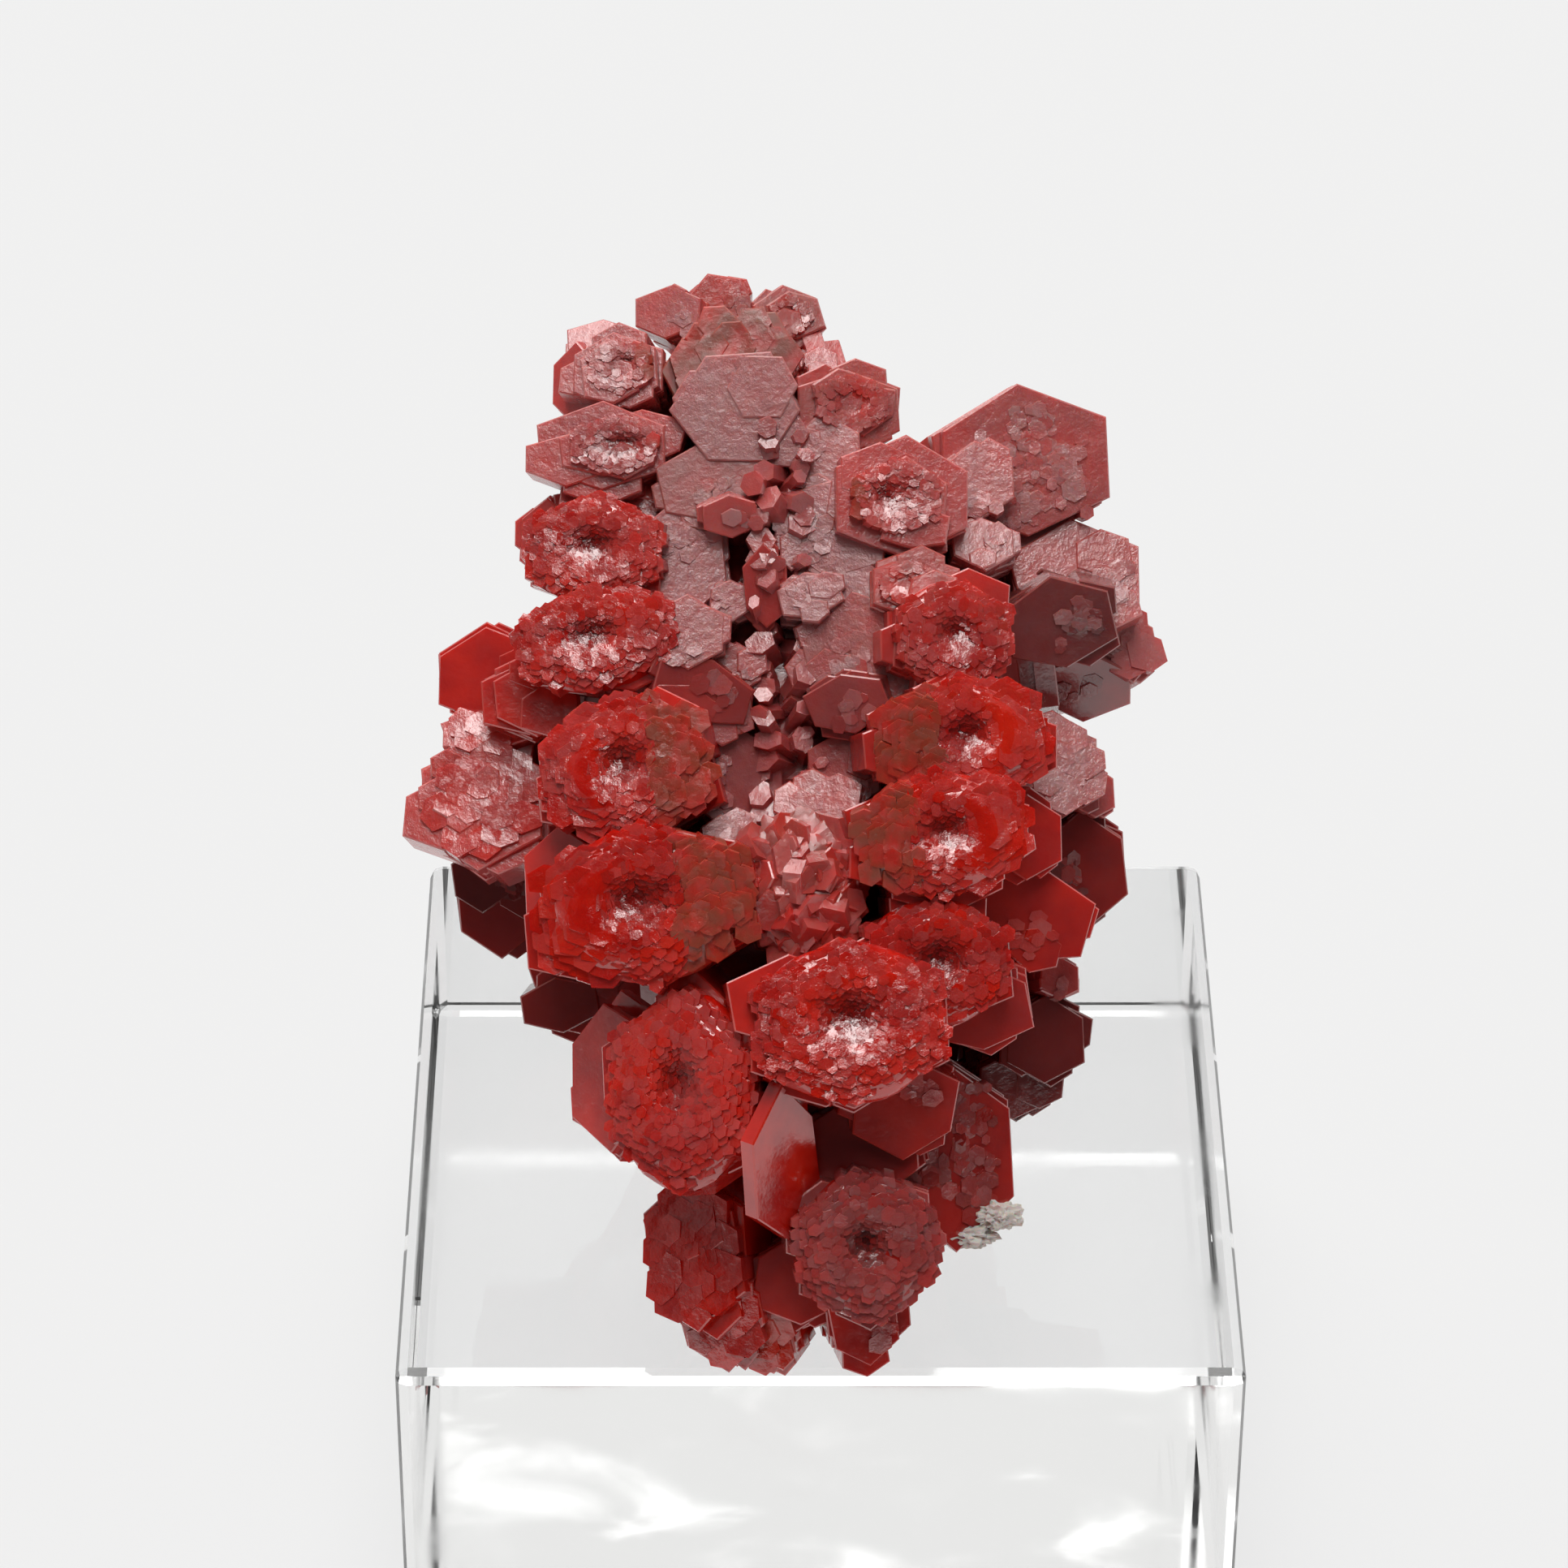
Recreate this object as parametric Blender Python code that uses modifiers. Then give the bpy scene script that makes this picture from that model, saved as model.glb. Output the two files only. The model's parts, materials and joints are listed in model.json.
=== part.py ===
"""A vanadinite specimen: one mass of intergrown six-sided tablets, leaning back on a clear block.

The specimen is laid out in its own frame, in millimetres: across to the right, up along its face,
and out towards whoever looks at that face. FACE turns that frame into the part's frame in metres.
"""
import math
import random

import bmesh
import bpy
from mathutils import Matrix, Vector

MM = 0.001

# Display block
BLOCK_SIDE = 30.0
BLOCK_HEIGHT = 15.0
BLOCK_BEVEL = 0.45

# How the specimen rests
FACE_LEAN = math.radians(36.3)
TIP_FORWARD = 14.4
REST_GAP = 0.3

# Build of every crystal
RIM_BEVEL = 0.22
RIM_SHARE = 0.25
LEDGE_RISE = 0.5
LEDGE_SHRINK = 0.80
LEDGE_SLIDE = 0.10
LEDGE_DRIFT = 0.06
LEDGE_TURN = 0.12
LEDGE_SINK = 0.5
ROOT_TAPER = 0.34
ROOT_PULL = 0.22
ROOT_RISE = 0.8
ROOT_CLEAR = 1.0
ROOT_SPINE_OUT = -5.5
ROOT_DEPTH = 4.5

# Inner mass that the crystals grow from
SPINE_ACROSS = -1.3
MASS_CENTRE = Vector((SPINE_ACROSS, 19.0, -4.6))
MASS_HALF = Vector((8.4, 16.8, 5.8))

# Small crystals along the groove between the two rows; their turn and nod are in radians
GROOVE_LOW = 18.0
GROOVE_HIGH = 31.5
GROOVE_STEP = 1.9
GROOVE_STAGGER = 0.25
GROOVE_HALF = (0.62, 0.78)
GROOVE_THICK = 1.6
GROOVE_APART = 0.48
GROOVE_OUT = 1.5
GROOVE_TURN = 0.25
GROOVE_NOD = 0.3

# Rows of crystals round the sides and the back: up, left edge, right edge, depth behind the face
BACK_ROWS = [
    (4.5, -5.4, 3.6, 5.0),
    (8.8, -8.2, 6.2, 9.0),
    (13.0, -9.8, 8.0, 11.2),
    (17.2, -11.2, 9.2, 12.2),
    (21.4, -11.8, 9.2, 12.2),
    (25.6, -10.6, 9.8, 11.2),
    (29.8, -9.2, 8.0, 9.6),
    (33.8, -8.2, 2.2, 7.0),
]
BACK_SPACING = 4.4
BACK_START_OUT = -2.4
BACK_HALF = 2.5
BACK_THICK = 3.2
BACK_INSET = 0.6
BACK_START_SHARES = (0.25, 0.75)
BACK_TILT = 1.0 / 420.0
BACK_DRIFT = 0.6
BACK_NOD = 0.2
BACK_SPIN = 0.5
BACK_SIZES = (0.82, 1.12)
BACK_HEIGHTS = (0.9, 1.1)
BACK_SEED = 7

RED = (0.30, 0.018, 0.008, 1.0)
RED_ROUGHNESS = 0.28
CLEAR = (0.96, 0.97, 0.97, 1.0)
CLEAR_ROUGHNESS = 0.03

HEX_FLAT = math.cos(math.radians(30.0))
TINY = 1e-6
LUMP_DETAIL = 2
CUTTER_SIDE = 100.0
FACE = (
    Matrix.Translation((0.0, -TIP_FORWARD * MM, BLOCK_HEIGHT * MM))
    @ Matrix.Rotation(math.radians(90.0) - FACE_LEAN, 4, "X")
    @ Matrix.Scale(MM, 4)
)


def crystal(name, at, half, thick, turns, ledges=0):
    """One hand-placed crystal: its face's middle, half width and height, thickness, and
    how far it turns to the right, nods up and spins, in degrees."""
    return {
        "name": name,
        "at": Vector(at),
        "half": half,
        "thick": thick,
        "turns": [math.radians(turn) for turn in turns],
        "ledges": ledges,
    }


CROWN = [
    crystal("top_left", (-5.4, 37.2, -1.6), (1.2, 1.0), 3.0, (-20, 14, 0)),
    crystal("top_point", (-3.6, 37.6, -2.2), (1.1, 1.0), 3.2, (0, 15, 20)),
    crystal("top_right", (-1.1, 37.0, -1.8), (1.2, 1.2), 2.8, (14, 12, 10), 1),
    crystal("crown_ledge", (-3.0, 35.0, 0.5), (1.9, 2.2), 3.0, (0, 14, 30), 1),
    crystal("crown_face", (-2.9, 33.5, 1.8), (1.9, 2.2), 2.8, (0, 2, 30), 1),
    crystal("crown_tail", (-2.4, 31.8, 1.4), (1.1, 1.4), 2.4, (4, -4, 8)),
]

LEFT_ROW = [
    crystal("left_shoulder_back", (-7.8, 36.2, -1.4), (1.2, 0.8), 3.0, (-8, 34, 0)),
    crystal("left_shoulder_side", (-8.7, 34.5, -0.9), (1.0, 1.4), 3.2, (-34, 2, 0)),
    crystal("left_shoulder", (-7.3, 35.0, 0.6), (1.5, 1.4), 3.0, (-8, 10, 4), 1),
    crystal("left_eye", (-7.6, 32.2, 1.4), (2.3, 1.6), 2.6, (-6, 6, 0), 3),
    crystal("left_eye_foot", (-6.7, 30.5, 0.6), (2.6, 1.0), 2.6, (4, 26, 0)),
    crystal("left_bloom_1_side", (-9.7, 29.0, 0.2), (1.0, 1.5), 3.2, (-24, 4, 0)),
    crystal("left_bloom_1", (-7.9, 28.6, 2.0), (2.4, 2.0), 3.0, (-8, 6, 0), 3),
    crystal("left_smooth_1", (-4.8, 28.3, 1.9), (1.5, 2.1), 2.4, (6, 6, 6)),
    crystal("left_bloom_2", (-7.8, 25.5, 2.6), (2.8, 1.9), 2.8, (-8, 6, 10), 3),
    crystal("left_plate_1", (-4.7, 25.7, 3.2), (1.3, 1.3), 1.8, (4, 6, 0), 1),
    crystal("far_left_top", (-11.7, 24.4, -1.0), (1.9, 1.8), 3.4, (-12, 6, 4), 1),
    crystal("far_left_mid", (-10.2, 23.6, 0.8), (1.5, 1.4), 2.8, (2, 6, 4), 1),
    crystal("far_left_lip", (-11.7, 22.4, -0.6), (1.6, 0.9), 2.0, (-10, 28, 6)),
    crystal("far_left_disc", (-12.0, 19.9, -0.2), (2.2, 2.4), 3.0, (-8, 14, 0), 3),
    crystal("left_low_back", (-11.5, 16.2, -3.2), (1.5, 1.9), 3.4, (-8, -6, 4)),
    crystal("left_bloom_3", (-6.6, 21.0, 4.2), (2.7, 2.6), 3.4, (-12, 6, 8), 3),
    crystal("left_bloom_4_side", (-9.0, 16.9, 3.0), (1.4, 2.0), 3.4, (-24, 4, 6), 1),
    crystal("left_bloom_4", (-6.0, 16.3, 5.2), (3.6, 2.8), 3.6, (-10, 0, 8), 3),
    crystal("left_low_plate", (-8.2, 13.2, -1.0), (2.0, 1.7), 3.4, (-6, -8, 8)),
    crystal("left_oval", (-4.1, 23.7, 3.0), (1.7, 1.2), 1.8, (12, -8, -18), 1),
    crystal("left_bloom_5_side", (-7.6, 10.4, 3.0), (1.7, 2.6), 3.4, (-42, 4, 8), 1),
    crystal("left_bloom_5", (-4.7, 9.9, 5.0), (2.7, 3.6), 3.6, (-22, 2, 0), 3),
]

FOOT = [
    crystal("rough_lump", (-0.7, 16.8, 4.6), (1.9, 2.4), 2.8, (4, 4, 20), 1),
    crystal("mid_bloom", (0.9, 12.3, 6.6), (3.4, 2.9), 3.6, (4, 4, 4), 3),
    crystal("mid_bloom_skirt", (2.8, 9.2, 4.6), (1.8, 1.8), 2.4, (8, -12, 0), 1),
    crystal("right_big_plate", (4.6, 7.5, 2.2), (2.2, 3.2), 3.4, (16, -6, 4)),
    crystal("foot_hexagon", (1.5, 4.5, 4.2), (2.4, 2.7), 3.4, (4, -6, 8), 2),
    crystal("foot_chip", (3.8, 5.2, 3.0), (1.0, 1.0), 2.0, (24, 4, 0)),
    crystal("foot_blade", (-1.3, 7.4, 5.6), (1.9, 2.9), 1.1, (46, -14, 20)),
    crystal("foot_column", (-4.5, 4.0, 1.8), (1.7, 2.8), 3.0, (-40, 0, 6), 1),
    crystal("foot_left", (-3.6, 1.9, 1.4), (1.5, 2.2), 3.0, (-34, -14, 6), 1),
    crystal("foot_tip", (-2.0, 1.0, 1.2), (1.1, 1.4), 2.6, (-16, -16, 10)),
    crystal("foot_right", (1.6, 1.6, 2.0), (1.2, 1.6), 2.8, (8, -12, 8)),
    crystal("foot_middle", (-0.8, 3.1, 2.0), (1.6, 1.7), 2.6, (0, 0, 0)),
]

RIGHT_ROW = [
    crystal("right_top_chip", (0.0, 35.4, -0.8), (0.6, 0.6), 2.2, (10, 22, 0)),
    crystal("right_top_bloom", (1.0, 33.7, 0.8), (1.8, 1.5), 3.0, (14, 6, 0), 2),
    crystal("right_smooth_1", (0.1, 31.9, 1.5), (1.3, 1.6), 2.2, (-4, 6, 6)),
    crystal("right_bloom_1", (3.0, 30.3, 2.6), (2.3, 2.1), 3.0, (6, 6, 0), 3),
    crystal("right_plate_1", (5.7, 28.9, 1.4), (1.1, 1.0), 2.2, (10, 18, 0)),
    crystal("right_wing", (7.2, 31.7, -0.4), (2.9, 2.7), 2.6, (8, 2, 4), 1),
    crystal("right_wing_lap", (5.5, 31.1, 0.8), (1.2, 1.4), 2.2, (4, 8, 5)),
    crystal("right_smooth_2", (0.5, 29.5, 2.2), (1.7, 1.9), 2.4, (-6, 6, -8)),
    crystal("right_shelf", (9.2, 27.6, -0.6), (2.3, 2.1), 3.2, (8, 12, 5), 1),
    crystal("right_dark_oval", (8.3, 26.0, 0.8), (1.9, 1.7), 2.8, (4, -14, 12), 1),
    crystal("right_tail", (10.9, 25.4, -2.0), (1.0, 1.3), 2.8, (16, 10, 8)),
    crystal("right_under", (9.5, 23.9, -1.8), (1.6, 1.4), 2.6, (10, -34, 0)),
    crystal("right_smooth_3", (0.8, 27.6, 2.4), (1.5, 1.2), 2.0, (-8, 8, -20)),
    crystal("right_bloom_2", (3.3, 27.3, 3.4), (1.5, 1.2), 2.6, (4, 8, 0), 2),
    crystal("right_bloom_3", (4.5, 25.5, 3.8), (2.1, 2.1), 3.0, (10, 4, 0), 3),
    crystal("right_smooth_4", (1.6, 24.6, 2.8), (2.2, 2.6), 2.6, (-10, 2, 12), 1),
    crystal("right_oval", (0.9, 23.3, 3.4), (1.4, 1.1), 1.8, (-10, -4, 14)),
    crystal("right_bloom_4", (4.7, 22.0, 4.6), (2.9, 2.2), 3.2, (10, 2, 5), 3),
    crystal("right_grey", (8.2, 21.1, -0.2), (1.5, 1.7), 3.0, (14, 12, 0), 1),
    crystal("right_grey_back", (9.8, 20.2, -1.6), (0.7, 1.0), 2.6, (16, 4, 0)),
    crystal("right_low_back", (9.4, 17.5, -2.0), (1.6, 2.1), 3.2, (8, -6, 4)),
    crystal("right_bloom_5", (4.0, 18.7, 5.6), (2.9, 2.2), 3.4, (8, 2, 5), 3),
    crystal("right_bloom_5_side", (7.0, 18.5, 3.4), (1.3, 1.6), 2.8, (16, -2, 0)),
    crystal("right_red_plate", (7.3, 15.8, 2.4), (2.0, 1.8), 3.0, (12, -4, -14)),
    crystal("right_bloom_6", (3.9, 14.3, 5.4), (2.6, 2.3), 3.4, (8, 0, 0), 3),
    crystal("right_skirt", (5.6, 12.8, 4.0), (1.7, 1.6), 2.8, (10, -10, 6), 1),
    crystal("right_low_dark", (7.9, 11.5, -0.4), (1.4, 1.6), 3.4, (12, -6, 0), 1),
    crystal("right_low_dark_2", (7.0, 9.7, -1.0), (1.3, 1.3), 3.2, (12, -14, 0)),
    crystal("right_low_chip", (8.4, 13.6, 0.0), (0.7, 0.8), 2.4, (18, 6, 0)),
]

GROOVE_PLATES = [
    crystal("neck_plate", (-3.7, 31.0, 1.8), (1.9, 1.6), 2.2, (0, 4, 10), 1),
    crystal("neck_hexagon", (-3.2, 29.8, 2.5), (0.9, 0.8), 1.8, (2, -12, 5)),
    crystal("neck_fleck", (-1.0, 29.4, 2.0), (0.6, 1.3), 1.8, (2, 8, 0)),
    crystal("groove_post", (-2.0, 27.3, 2.4), (0.75, 1.5), 2.0, (-4, -4, 2)),
    crystal("groove_chip", (-0.4, 27.0, 2.7), (1.1, 0.9), 1.8, (-4, 8, 15)),
    crystal("groove_hexagon", (-3.2, 26.9, 2.2), (0.7, 0.8), 1.8, (8, 8, 0)),
    crystal("groove_step", (-0.1, 25.7, 2.4), (0.8, 0.7), 1.8, (-6, 6, 10)),
    crystal("groove_under", (-2.9, 24.6, 2.2), (0.8, 0.9), 1.8, (6, 6, 0)),
    crystal("groove_low_chip", (-0.5, 24.4, 2.4), (0.7, 0.8), 1.8, (-6, 4, 20)),
    crystal("groove_left_small", (-3.3, 22.9, 2.4), (0.9, 1.0), 1.8, (10, 4, 0)),
    crystal("groove_left_plate", (-3.2, 20.6, 2.2), (1.5, 2.0), 2.2, (16, 4, 0)),
    crystal("groove_left_fleck", (-2.9, 18.2, 3.2), (1.1, 1.2), 2.0, (8, 16, 0)),
    crystal("groove_right_plate", (0.8, 20.9, 2.6), (1.3, 1.4), 2.0, (-12, 4, 0)),
    crystal("groove_right_low", (-0.3, 19.7, 3.0), (1.1, 0.8), 1.8, (-10, 14, 0)),
]

# Pale rock left on the broken foot: middle and half sizes
ROCK_LUMPS = [
    (Vector((5.6, 5.4, 0.2)), Vector((1.6, 0.8, 1.4))),
    (Vector((0.2, 2.6, 0.6)), Vector((1.2, 1.0, 1.0))),
]


def clear_scene():
    for existing in list(bpy.data.objects):
        bpy.data.objects.remove(existing, do_unlink=True)


def new_collection(name):
    collection = bpy.data.collections.new(name)
    bpy.context.scene.collection.children.link(collection)
    return collection


def new_object(name, mesh, collection):
    made = bpy.data.objects.new(name, mesh)
    collection.objects.link(made)
    return made


def mesh_of(form, name):
    mesh = bpy.data.meshes.new(name)
    bmesh.ops.recalc_face_normals(form, faces=form.faces)
    form.to_mesh(mesh)
    form.free()
    return mesh


def plain_material(name, colour, roughness, metallic, transmission=0.0):
    material = bpy.data.materials.new(name)
    material.use_nodes = True
    shader = material.node_tree.nodes["Principled BSDF"]
    shader.inputs["Base Color"].default_value = colour
    shader.inputs["Roughness"].default_value = roughness
    shader.inputs["Metallic"].default_value = metallic
    shader.inputs["Transmission Weight"].default_value = transmission
    return material


def hexagon_prism(half, thick):
    """A six-sided prism with a point at the top, its front face at zero."""
    form = bmesh.new()
    bmesh.ops.create_cone(form, cap_ends=True, segments=6, radius1=1.0, radius2=1.0, depth=thick)
    bmesh.ops.scale(form, vec=(half[0] / HEX_FLAT, half[1], 1.0), verts=form.verts)
    bmesh.ops.translate(form, vec=(0.0, 0.0, -0.5 * thick), verts=form.verts)
    return form


def bevel_front(form, width):
    rim = [edge for edge in form.edges if all(point.co.z > -TINY for point in edge.verts)]
    bmesh.ops.bevel(
        form, geom=rim, offset=width, offset_type="OFFSET", segments=1, profile=0.5, affect="EDGES"
    )


def grow_root(form, thick, towards):
    """Carries the prism's back face on, tapering, to a point inside the mass."""
    back = min(form.faces, key=lambda face: face.calc_center_median().z)
    grown = bmesh.ops.extrude_face_region(form, geom=[back])
    bmesh.ops.delete(form, geom=[back], context="FACES_ONLY")
    points = [item for item in grown["geom"] if isinstance(item, bmesh.types.BMVert)]
    bmesh.ops.scale(form, vec=(ROOT_TAPER, ROOT_TAPER, 1.0), verts=points)
    bmesh.ops.translate(form, vec=(towards.x, towards.y, towards.z + thick), verts=points)


def root_point(at):
    across = SPINE_ACROSS + ROOT_PULL * (at.x - SPINE_ACROSS)
    up = MASS_CENTRE.y + ROOT_RISE * (at.y - MASS_CENTRE.y)
    return Vector((across, up, min(ROOT_SPINE_OUT, at.z - ROOT_DEPTH)))


def add_crystal(name, placement, half, thick, ledges, root, collection, bevel=RIM_BEVEL):
    """A bevelled tablet with its root, and its ledges stacked on its face like a low dome."""
    tablet = hexagon_prism(half, thick)
    if bevel:
        bevel_front(tablet, min(bevel, RIM_SHARE * min(half)))
    towards = placement.inverted() @ root
    towards.z = min(towards.z, -thick - ROOT_CLEAR)
    grow_root(tablet, thick, towards)
    tablet.transform(FACE @ placement)
    new_object(name, mesh_of(tablet, name), collection)
    for step in range(1, ledges + 1):
        share = 1.0 - LEDGE_SHRINK * step / (ledges + 1)
        rise = LEDGE_RISE * step
        plate = hexagon_prism([share * side for side in half], rise + LEDGE_SINK)
        side = 1.0 if step % 2 else -1.0
        slide = Vector((side * LEDGE_SLIDE * half[0], -LEDGE_DRIFT * step * half[1], rise))
        stepped = Matrix.Translation(slide) @ Matrix.Rotation(side * LEDGE_TURN * step, 4, "Z")
        plate.transform(FACE @ placement @ stepped)
        new_object(f"{name}_ledge_{step}", mesh_of(plate, name), collection)


def add_placed(rows, collection):
    for row in rows:
        turn, nod, spin = row["turns"]
        placement = (
            Matrix.Translation(row["at"])
            @ Matrix.Rotation(turn, 4, "Y")
            @ Matrix.Rotation(-nod, 4, "X")
            @ Matrix.Rotation(spin, 4, "Z")
        )
        root = root_point(row["at"])
        add_crystal(row["name"], placement, row["half"], row["thick"], row["ledges"], root, collection)


def add_groove(collection):
    """Two rows of small crystals that stand side by side down the groove, like a feather's shaft."""
    count = int((GROOVE_HIGH - GROOVE_LOW) / GROOVE_STEP)
    for number in range(2 * count):
        side = 1.0 if number % 2 else -1.0
        up = GROOVE_LOW + GROOVE_STEP * (number // 2) + GROOVE_STAGGER * GROOVE_STEP * side
        at = Vector((SPINE_ACROSS + side * GROOVE_APART, up, GROOVE_OUT))
        placement = Matrix.Translation(at) @ Matrix.Rotation(side * GROOVE_TURN, 4, "Y")
        placement = placement @ Matrix.Rotation(-GROOVE_NOD, 4, "X")
        name = f"groove_{number}"
        add_crystal(name, placement, GROOVE_HALF, GROOVE_THICK, 0, root_point(at), collection)


def add_back(collection):
    """Plain tablets round the sides and the back, row by row, each facing out of the mass."""
    chance = random.Random(BACK_SEED)
    for number, (up, left, right, depth) in enumerate(BACK_ROWS):
        middle = 0.5 * (left + right)
        wide = 0.5 * (right - left) - BACK_INSET * BACK_HALF
        arc = 0.5 * math.pi * (wide + depth)
        count = max(3, round(arc / BACK_SPACING))
        for place in range(count):
            angle = math.pi * (place + BACK_START_SHARES[number % 2]) / count
            across = middle - wide * math.cos(angle)
            out = BACK_START_OUT - (depth - BACK_INSET * BACK_HALF) * math.sin(angle)
            rising = (up - MASS_CENTRE.y) * BACK_TILT
            facing = Vector((-math.cos(angle) / wide, rising, -math.sin(angle) / depth))
            facing.normalize()
            at = Vector((across, up + chance.uniform(-BACK_DRIFT, BACK_DRIFT), out))
            turned = facing.to_track_quat("Z", "Y").to_matrix().to_4x4()
            wobble = Matrix.Rotation(chance.uniform(-BACK_NOD, BACK_NOD), 4, "X")
            wobble = wobble @ Matrix.Rotation(chance.uniform(-BACK_SPIN, BACK_SPIN), 4, "Z")
            placement = Matrix.Translation(at) @ turned @ wobble
            size = BACK_HALF * chance.uniform(*BACK_SIZES)
            half = (size * HEX_FLAT, size * chance.uniform(*BACK_HEIGHTS))
            name = f"back_{number}_{place}"
            add_crystal(name, placement, half, BACK_THICK, 0, MASS_CENTRE, collection, bevel=0.0)


def add_lump(name, middle, half, collection):
    """A rounded lump with flat facets."""
    form = bmesh.new()
    bmesh.ops.create_icosphere(form, subdivisions=LUMP_DETAIL, radius=1.0)
    bmesh.ops.scale(form, vec=half, verts=form.verts)
    bmesh.ops.translate(form, vec=middle, verts=form.verts)
    form.transform(FACE)
    return new_object(name, mesh_of(form, name), collection)


def add_base_cutter(collection):
    """A box whose top is the flat plane that the specimen is broken off at."""
    form = bmesh.new()
    bmesh.ops.create_cube(form, size=CUTTER_SIDE * MM)
    top = BLOCK_HEIGHT + REST_GAP
    bmesh.ops.translate(form, vec=(0.0, 0.0, (top - 0.5 * CUTTER_SIDE) * MM), verts=form.verts)
    return new_object("base_cutter", mesh_of(form, "base_cutter"), collection)


def signed_volume(faces):
    total = 0.0
    for face in faces:
        first = face.verts[0].co
        for one, two in zip(face.verts[1:], face.verts[2:]):
            total += first.dot(one.co.cross(two.co)) / 6.0
    return total


def linked_parts(form):
    """The faces of each separate shell."""
    left = set(form.faces)
    while left:
        shell = {left.pop()}
        waiting = list(shell)
        while waiting:
            face = waiting.pop()
            near = {other for edge in face.edges for other in edge.link_faces} & left
            left -= near
            shell |= near
            waiting.extend(near)
        yield shell


def keep_outer_shell(mesh):
    """Removes the shells of the small voids that the union leaves between the roots."""
    form = bmesh.new()
    form.from_mesh(mesh)
    shells = sorted(linked_parts(form), key=signed_volume)
    spare = [face for shell in shells[:-1] for face in shell]
    bmesh.ops.delete(form, geom=spare, context="FACES")
    form.to_mesh(mesh)
    form.free()


def add_boolean(target, name, operation):
    modifier = target.modifiers.new(name, "BOOLEAN")
    modifier.operation = operation
    modifier.solver = "EXACT"
    return modifier


def build_cluster(parts, guides):
    mass = add_lump("crystal_mass", MASS_CENTRE, MASS_HALF, guides)
    grown = new_collection("grown_crystals")
    add_placed(CROWN + LEFT_ROW + FOOT + RIGHT_ROW + GROOVE_PLATES, grown)
    add_groove(grown)
    add_back(grown)
    for number, (middle, half) in enumerate(ROCK_LUMPS):
        add_lump(f"rock_{number}", middle, half, grown)
    union = add_boolean(mass, "grow together", "UNION")
    union.operand_type = "COLLECTION"
    union.collection = grown
    cut = add_boolean(mass, "broken base", "DIFFERENCE")
    cut.object = add_base_cutter(guides)
    graph = bpy.context.evaluated_depsgraph_get()
    mesh = bpy.data.meshes.new_from_object(mass.evaluated_get(graph))
    mesh.name = "crystal_cluster"
    keep_outer_shell(mesh)
    mass.modifiers.clear()
    for guide in list(guides.objects) + list(grown.objects):
        guide.hide_render = True
        guide.display_type = "WIRE"
    mesh.materials.clear()
    mesh.materials.append(plain_material("vanadinite", RED, RED_ROUGHNESS, 0.0))
    new_object("crystal_cluster", mesh, parts)


def build_block(parts):
    form = bmesh.new()
    bmesh.ops.create_cube(form, size=1.0)
    bmesh.ops.scale(form, vec=(BLOCK_SIDE * MM, BLOCK_SIDE * MM, BLOCK_HEIGHT * MM), verts=form.verts)
    bmesh.ops.translate(form, vec=(0.0, 0.0, 0.5 * BLOCK_HEIGHT * MM), verts=form.verts)
    block = new_object("display_block", mesh_of(form, "display_block"), parts)
    bevel = block.modifiers.new("polished edges", "BEVEL")
    bevel.width = BLOCK_BEVEL * MM
    bevel.segments = 2
    block.data.materials.append(plain_material("clear_acrylic", CLEAR, CLEAR_ROUGHNESS, 0.0, 1.0))


clear_scene()
specimen = new_collection("vanadinite_specimen")
build_cluster(specimen, new_collection("guides"))
build_block(specimen)
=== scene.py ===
"""A vanadinite specimen leaning back on a clear block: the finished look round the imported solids."""
import json
import math
import random
from functools import partial

import bmesh
import bpy
from mathutils import Matrix, Vector, noise

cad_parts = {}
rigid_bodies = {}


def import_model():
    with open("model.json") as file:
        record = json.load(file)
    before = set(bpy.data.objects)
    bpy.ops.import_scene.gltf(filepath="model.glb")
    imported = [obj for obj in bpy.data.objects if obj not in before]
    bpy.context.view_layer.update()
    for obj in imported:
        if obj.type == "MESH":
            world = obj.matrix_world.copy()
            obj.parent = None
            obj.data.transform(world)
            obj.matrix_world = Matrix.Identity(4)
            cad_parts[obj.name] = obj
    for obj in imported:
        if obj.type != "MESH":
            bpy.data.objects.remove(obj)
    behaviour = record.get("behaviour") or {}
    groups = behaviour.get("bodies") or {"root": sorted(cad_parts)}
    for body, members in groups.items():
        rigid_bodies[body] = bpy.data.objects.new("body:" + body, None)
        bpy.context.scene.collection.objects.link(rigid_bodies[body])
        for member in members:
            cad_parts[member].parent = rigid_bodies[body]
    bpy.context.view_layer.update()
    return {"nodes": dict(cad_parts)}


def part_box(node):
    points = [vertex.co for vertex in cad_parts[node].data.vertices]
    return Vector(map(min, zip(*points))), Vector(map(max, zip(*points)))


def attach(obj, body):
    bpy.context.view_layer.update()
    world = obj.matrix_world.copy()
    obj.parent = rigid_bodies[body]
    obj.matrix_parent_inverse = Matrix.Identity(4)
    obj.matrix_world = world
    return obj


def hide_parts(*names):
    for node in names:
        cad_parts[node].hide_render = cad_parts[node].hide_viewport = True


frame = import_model()

# Camera: it stands in front of the block and looks down on it at the angle at which the specimen
# leans back, so the crystals face it squarely. A long lens, close by, as for a small mineral.
MM = 0.001
CAMERA_PLACE = (-2.13, -179.216, 161.57)
CAMERA_PITCH = math.radians(36.325)
CAMERA_YAW = math.radians(0.268)
CAMERA_ROLL = math.radians(0.17)
CAMERA_LENS = 143.14

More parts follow.
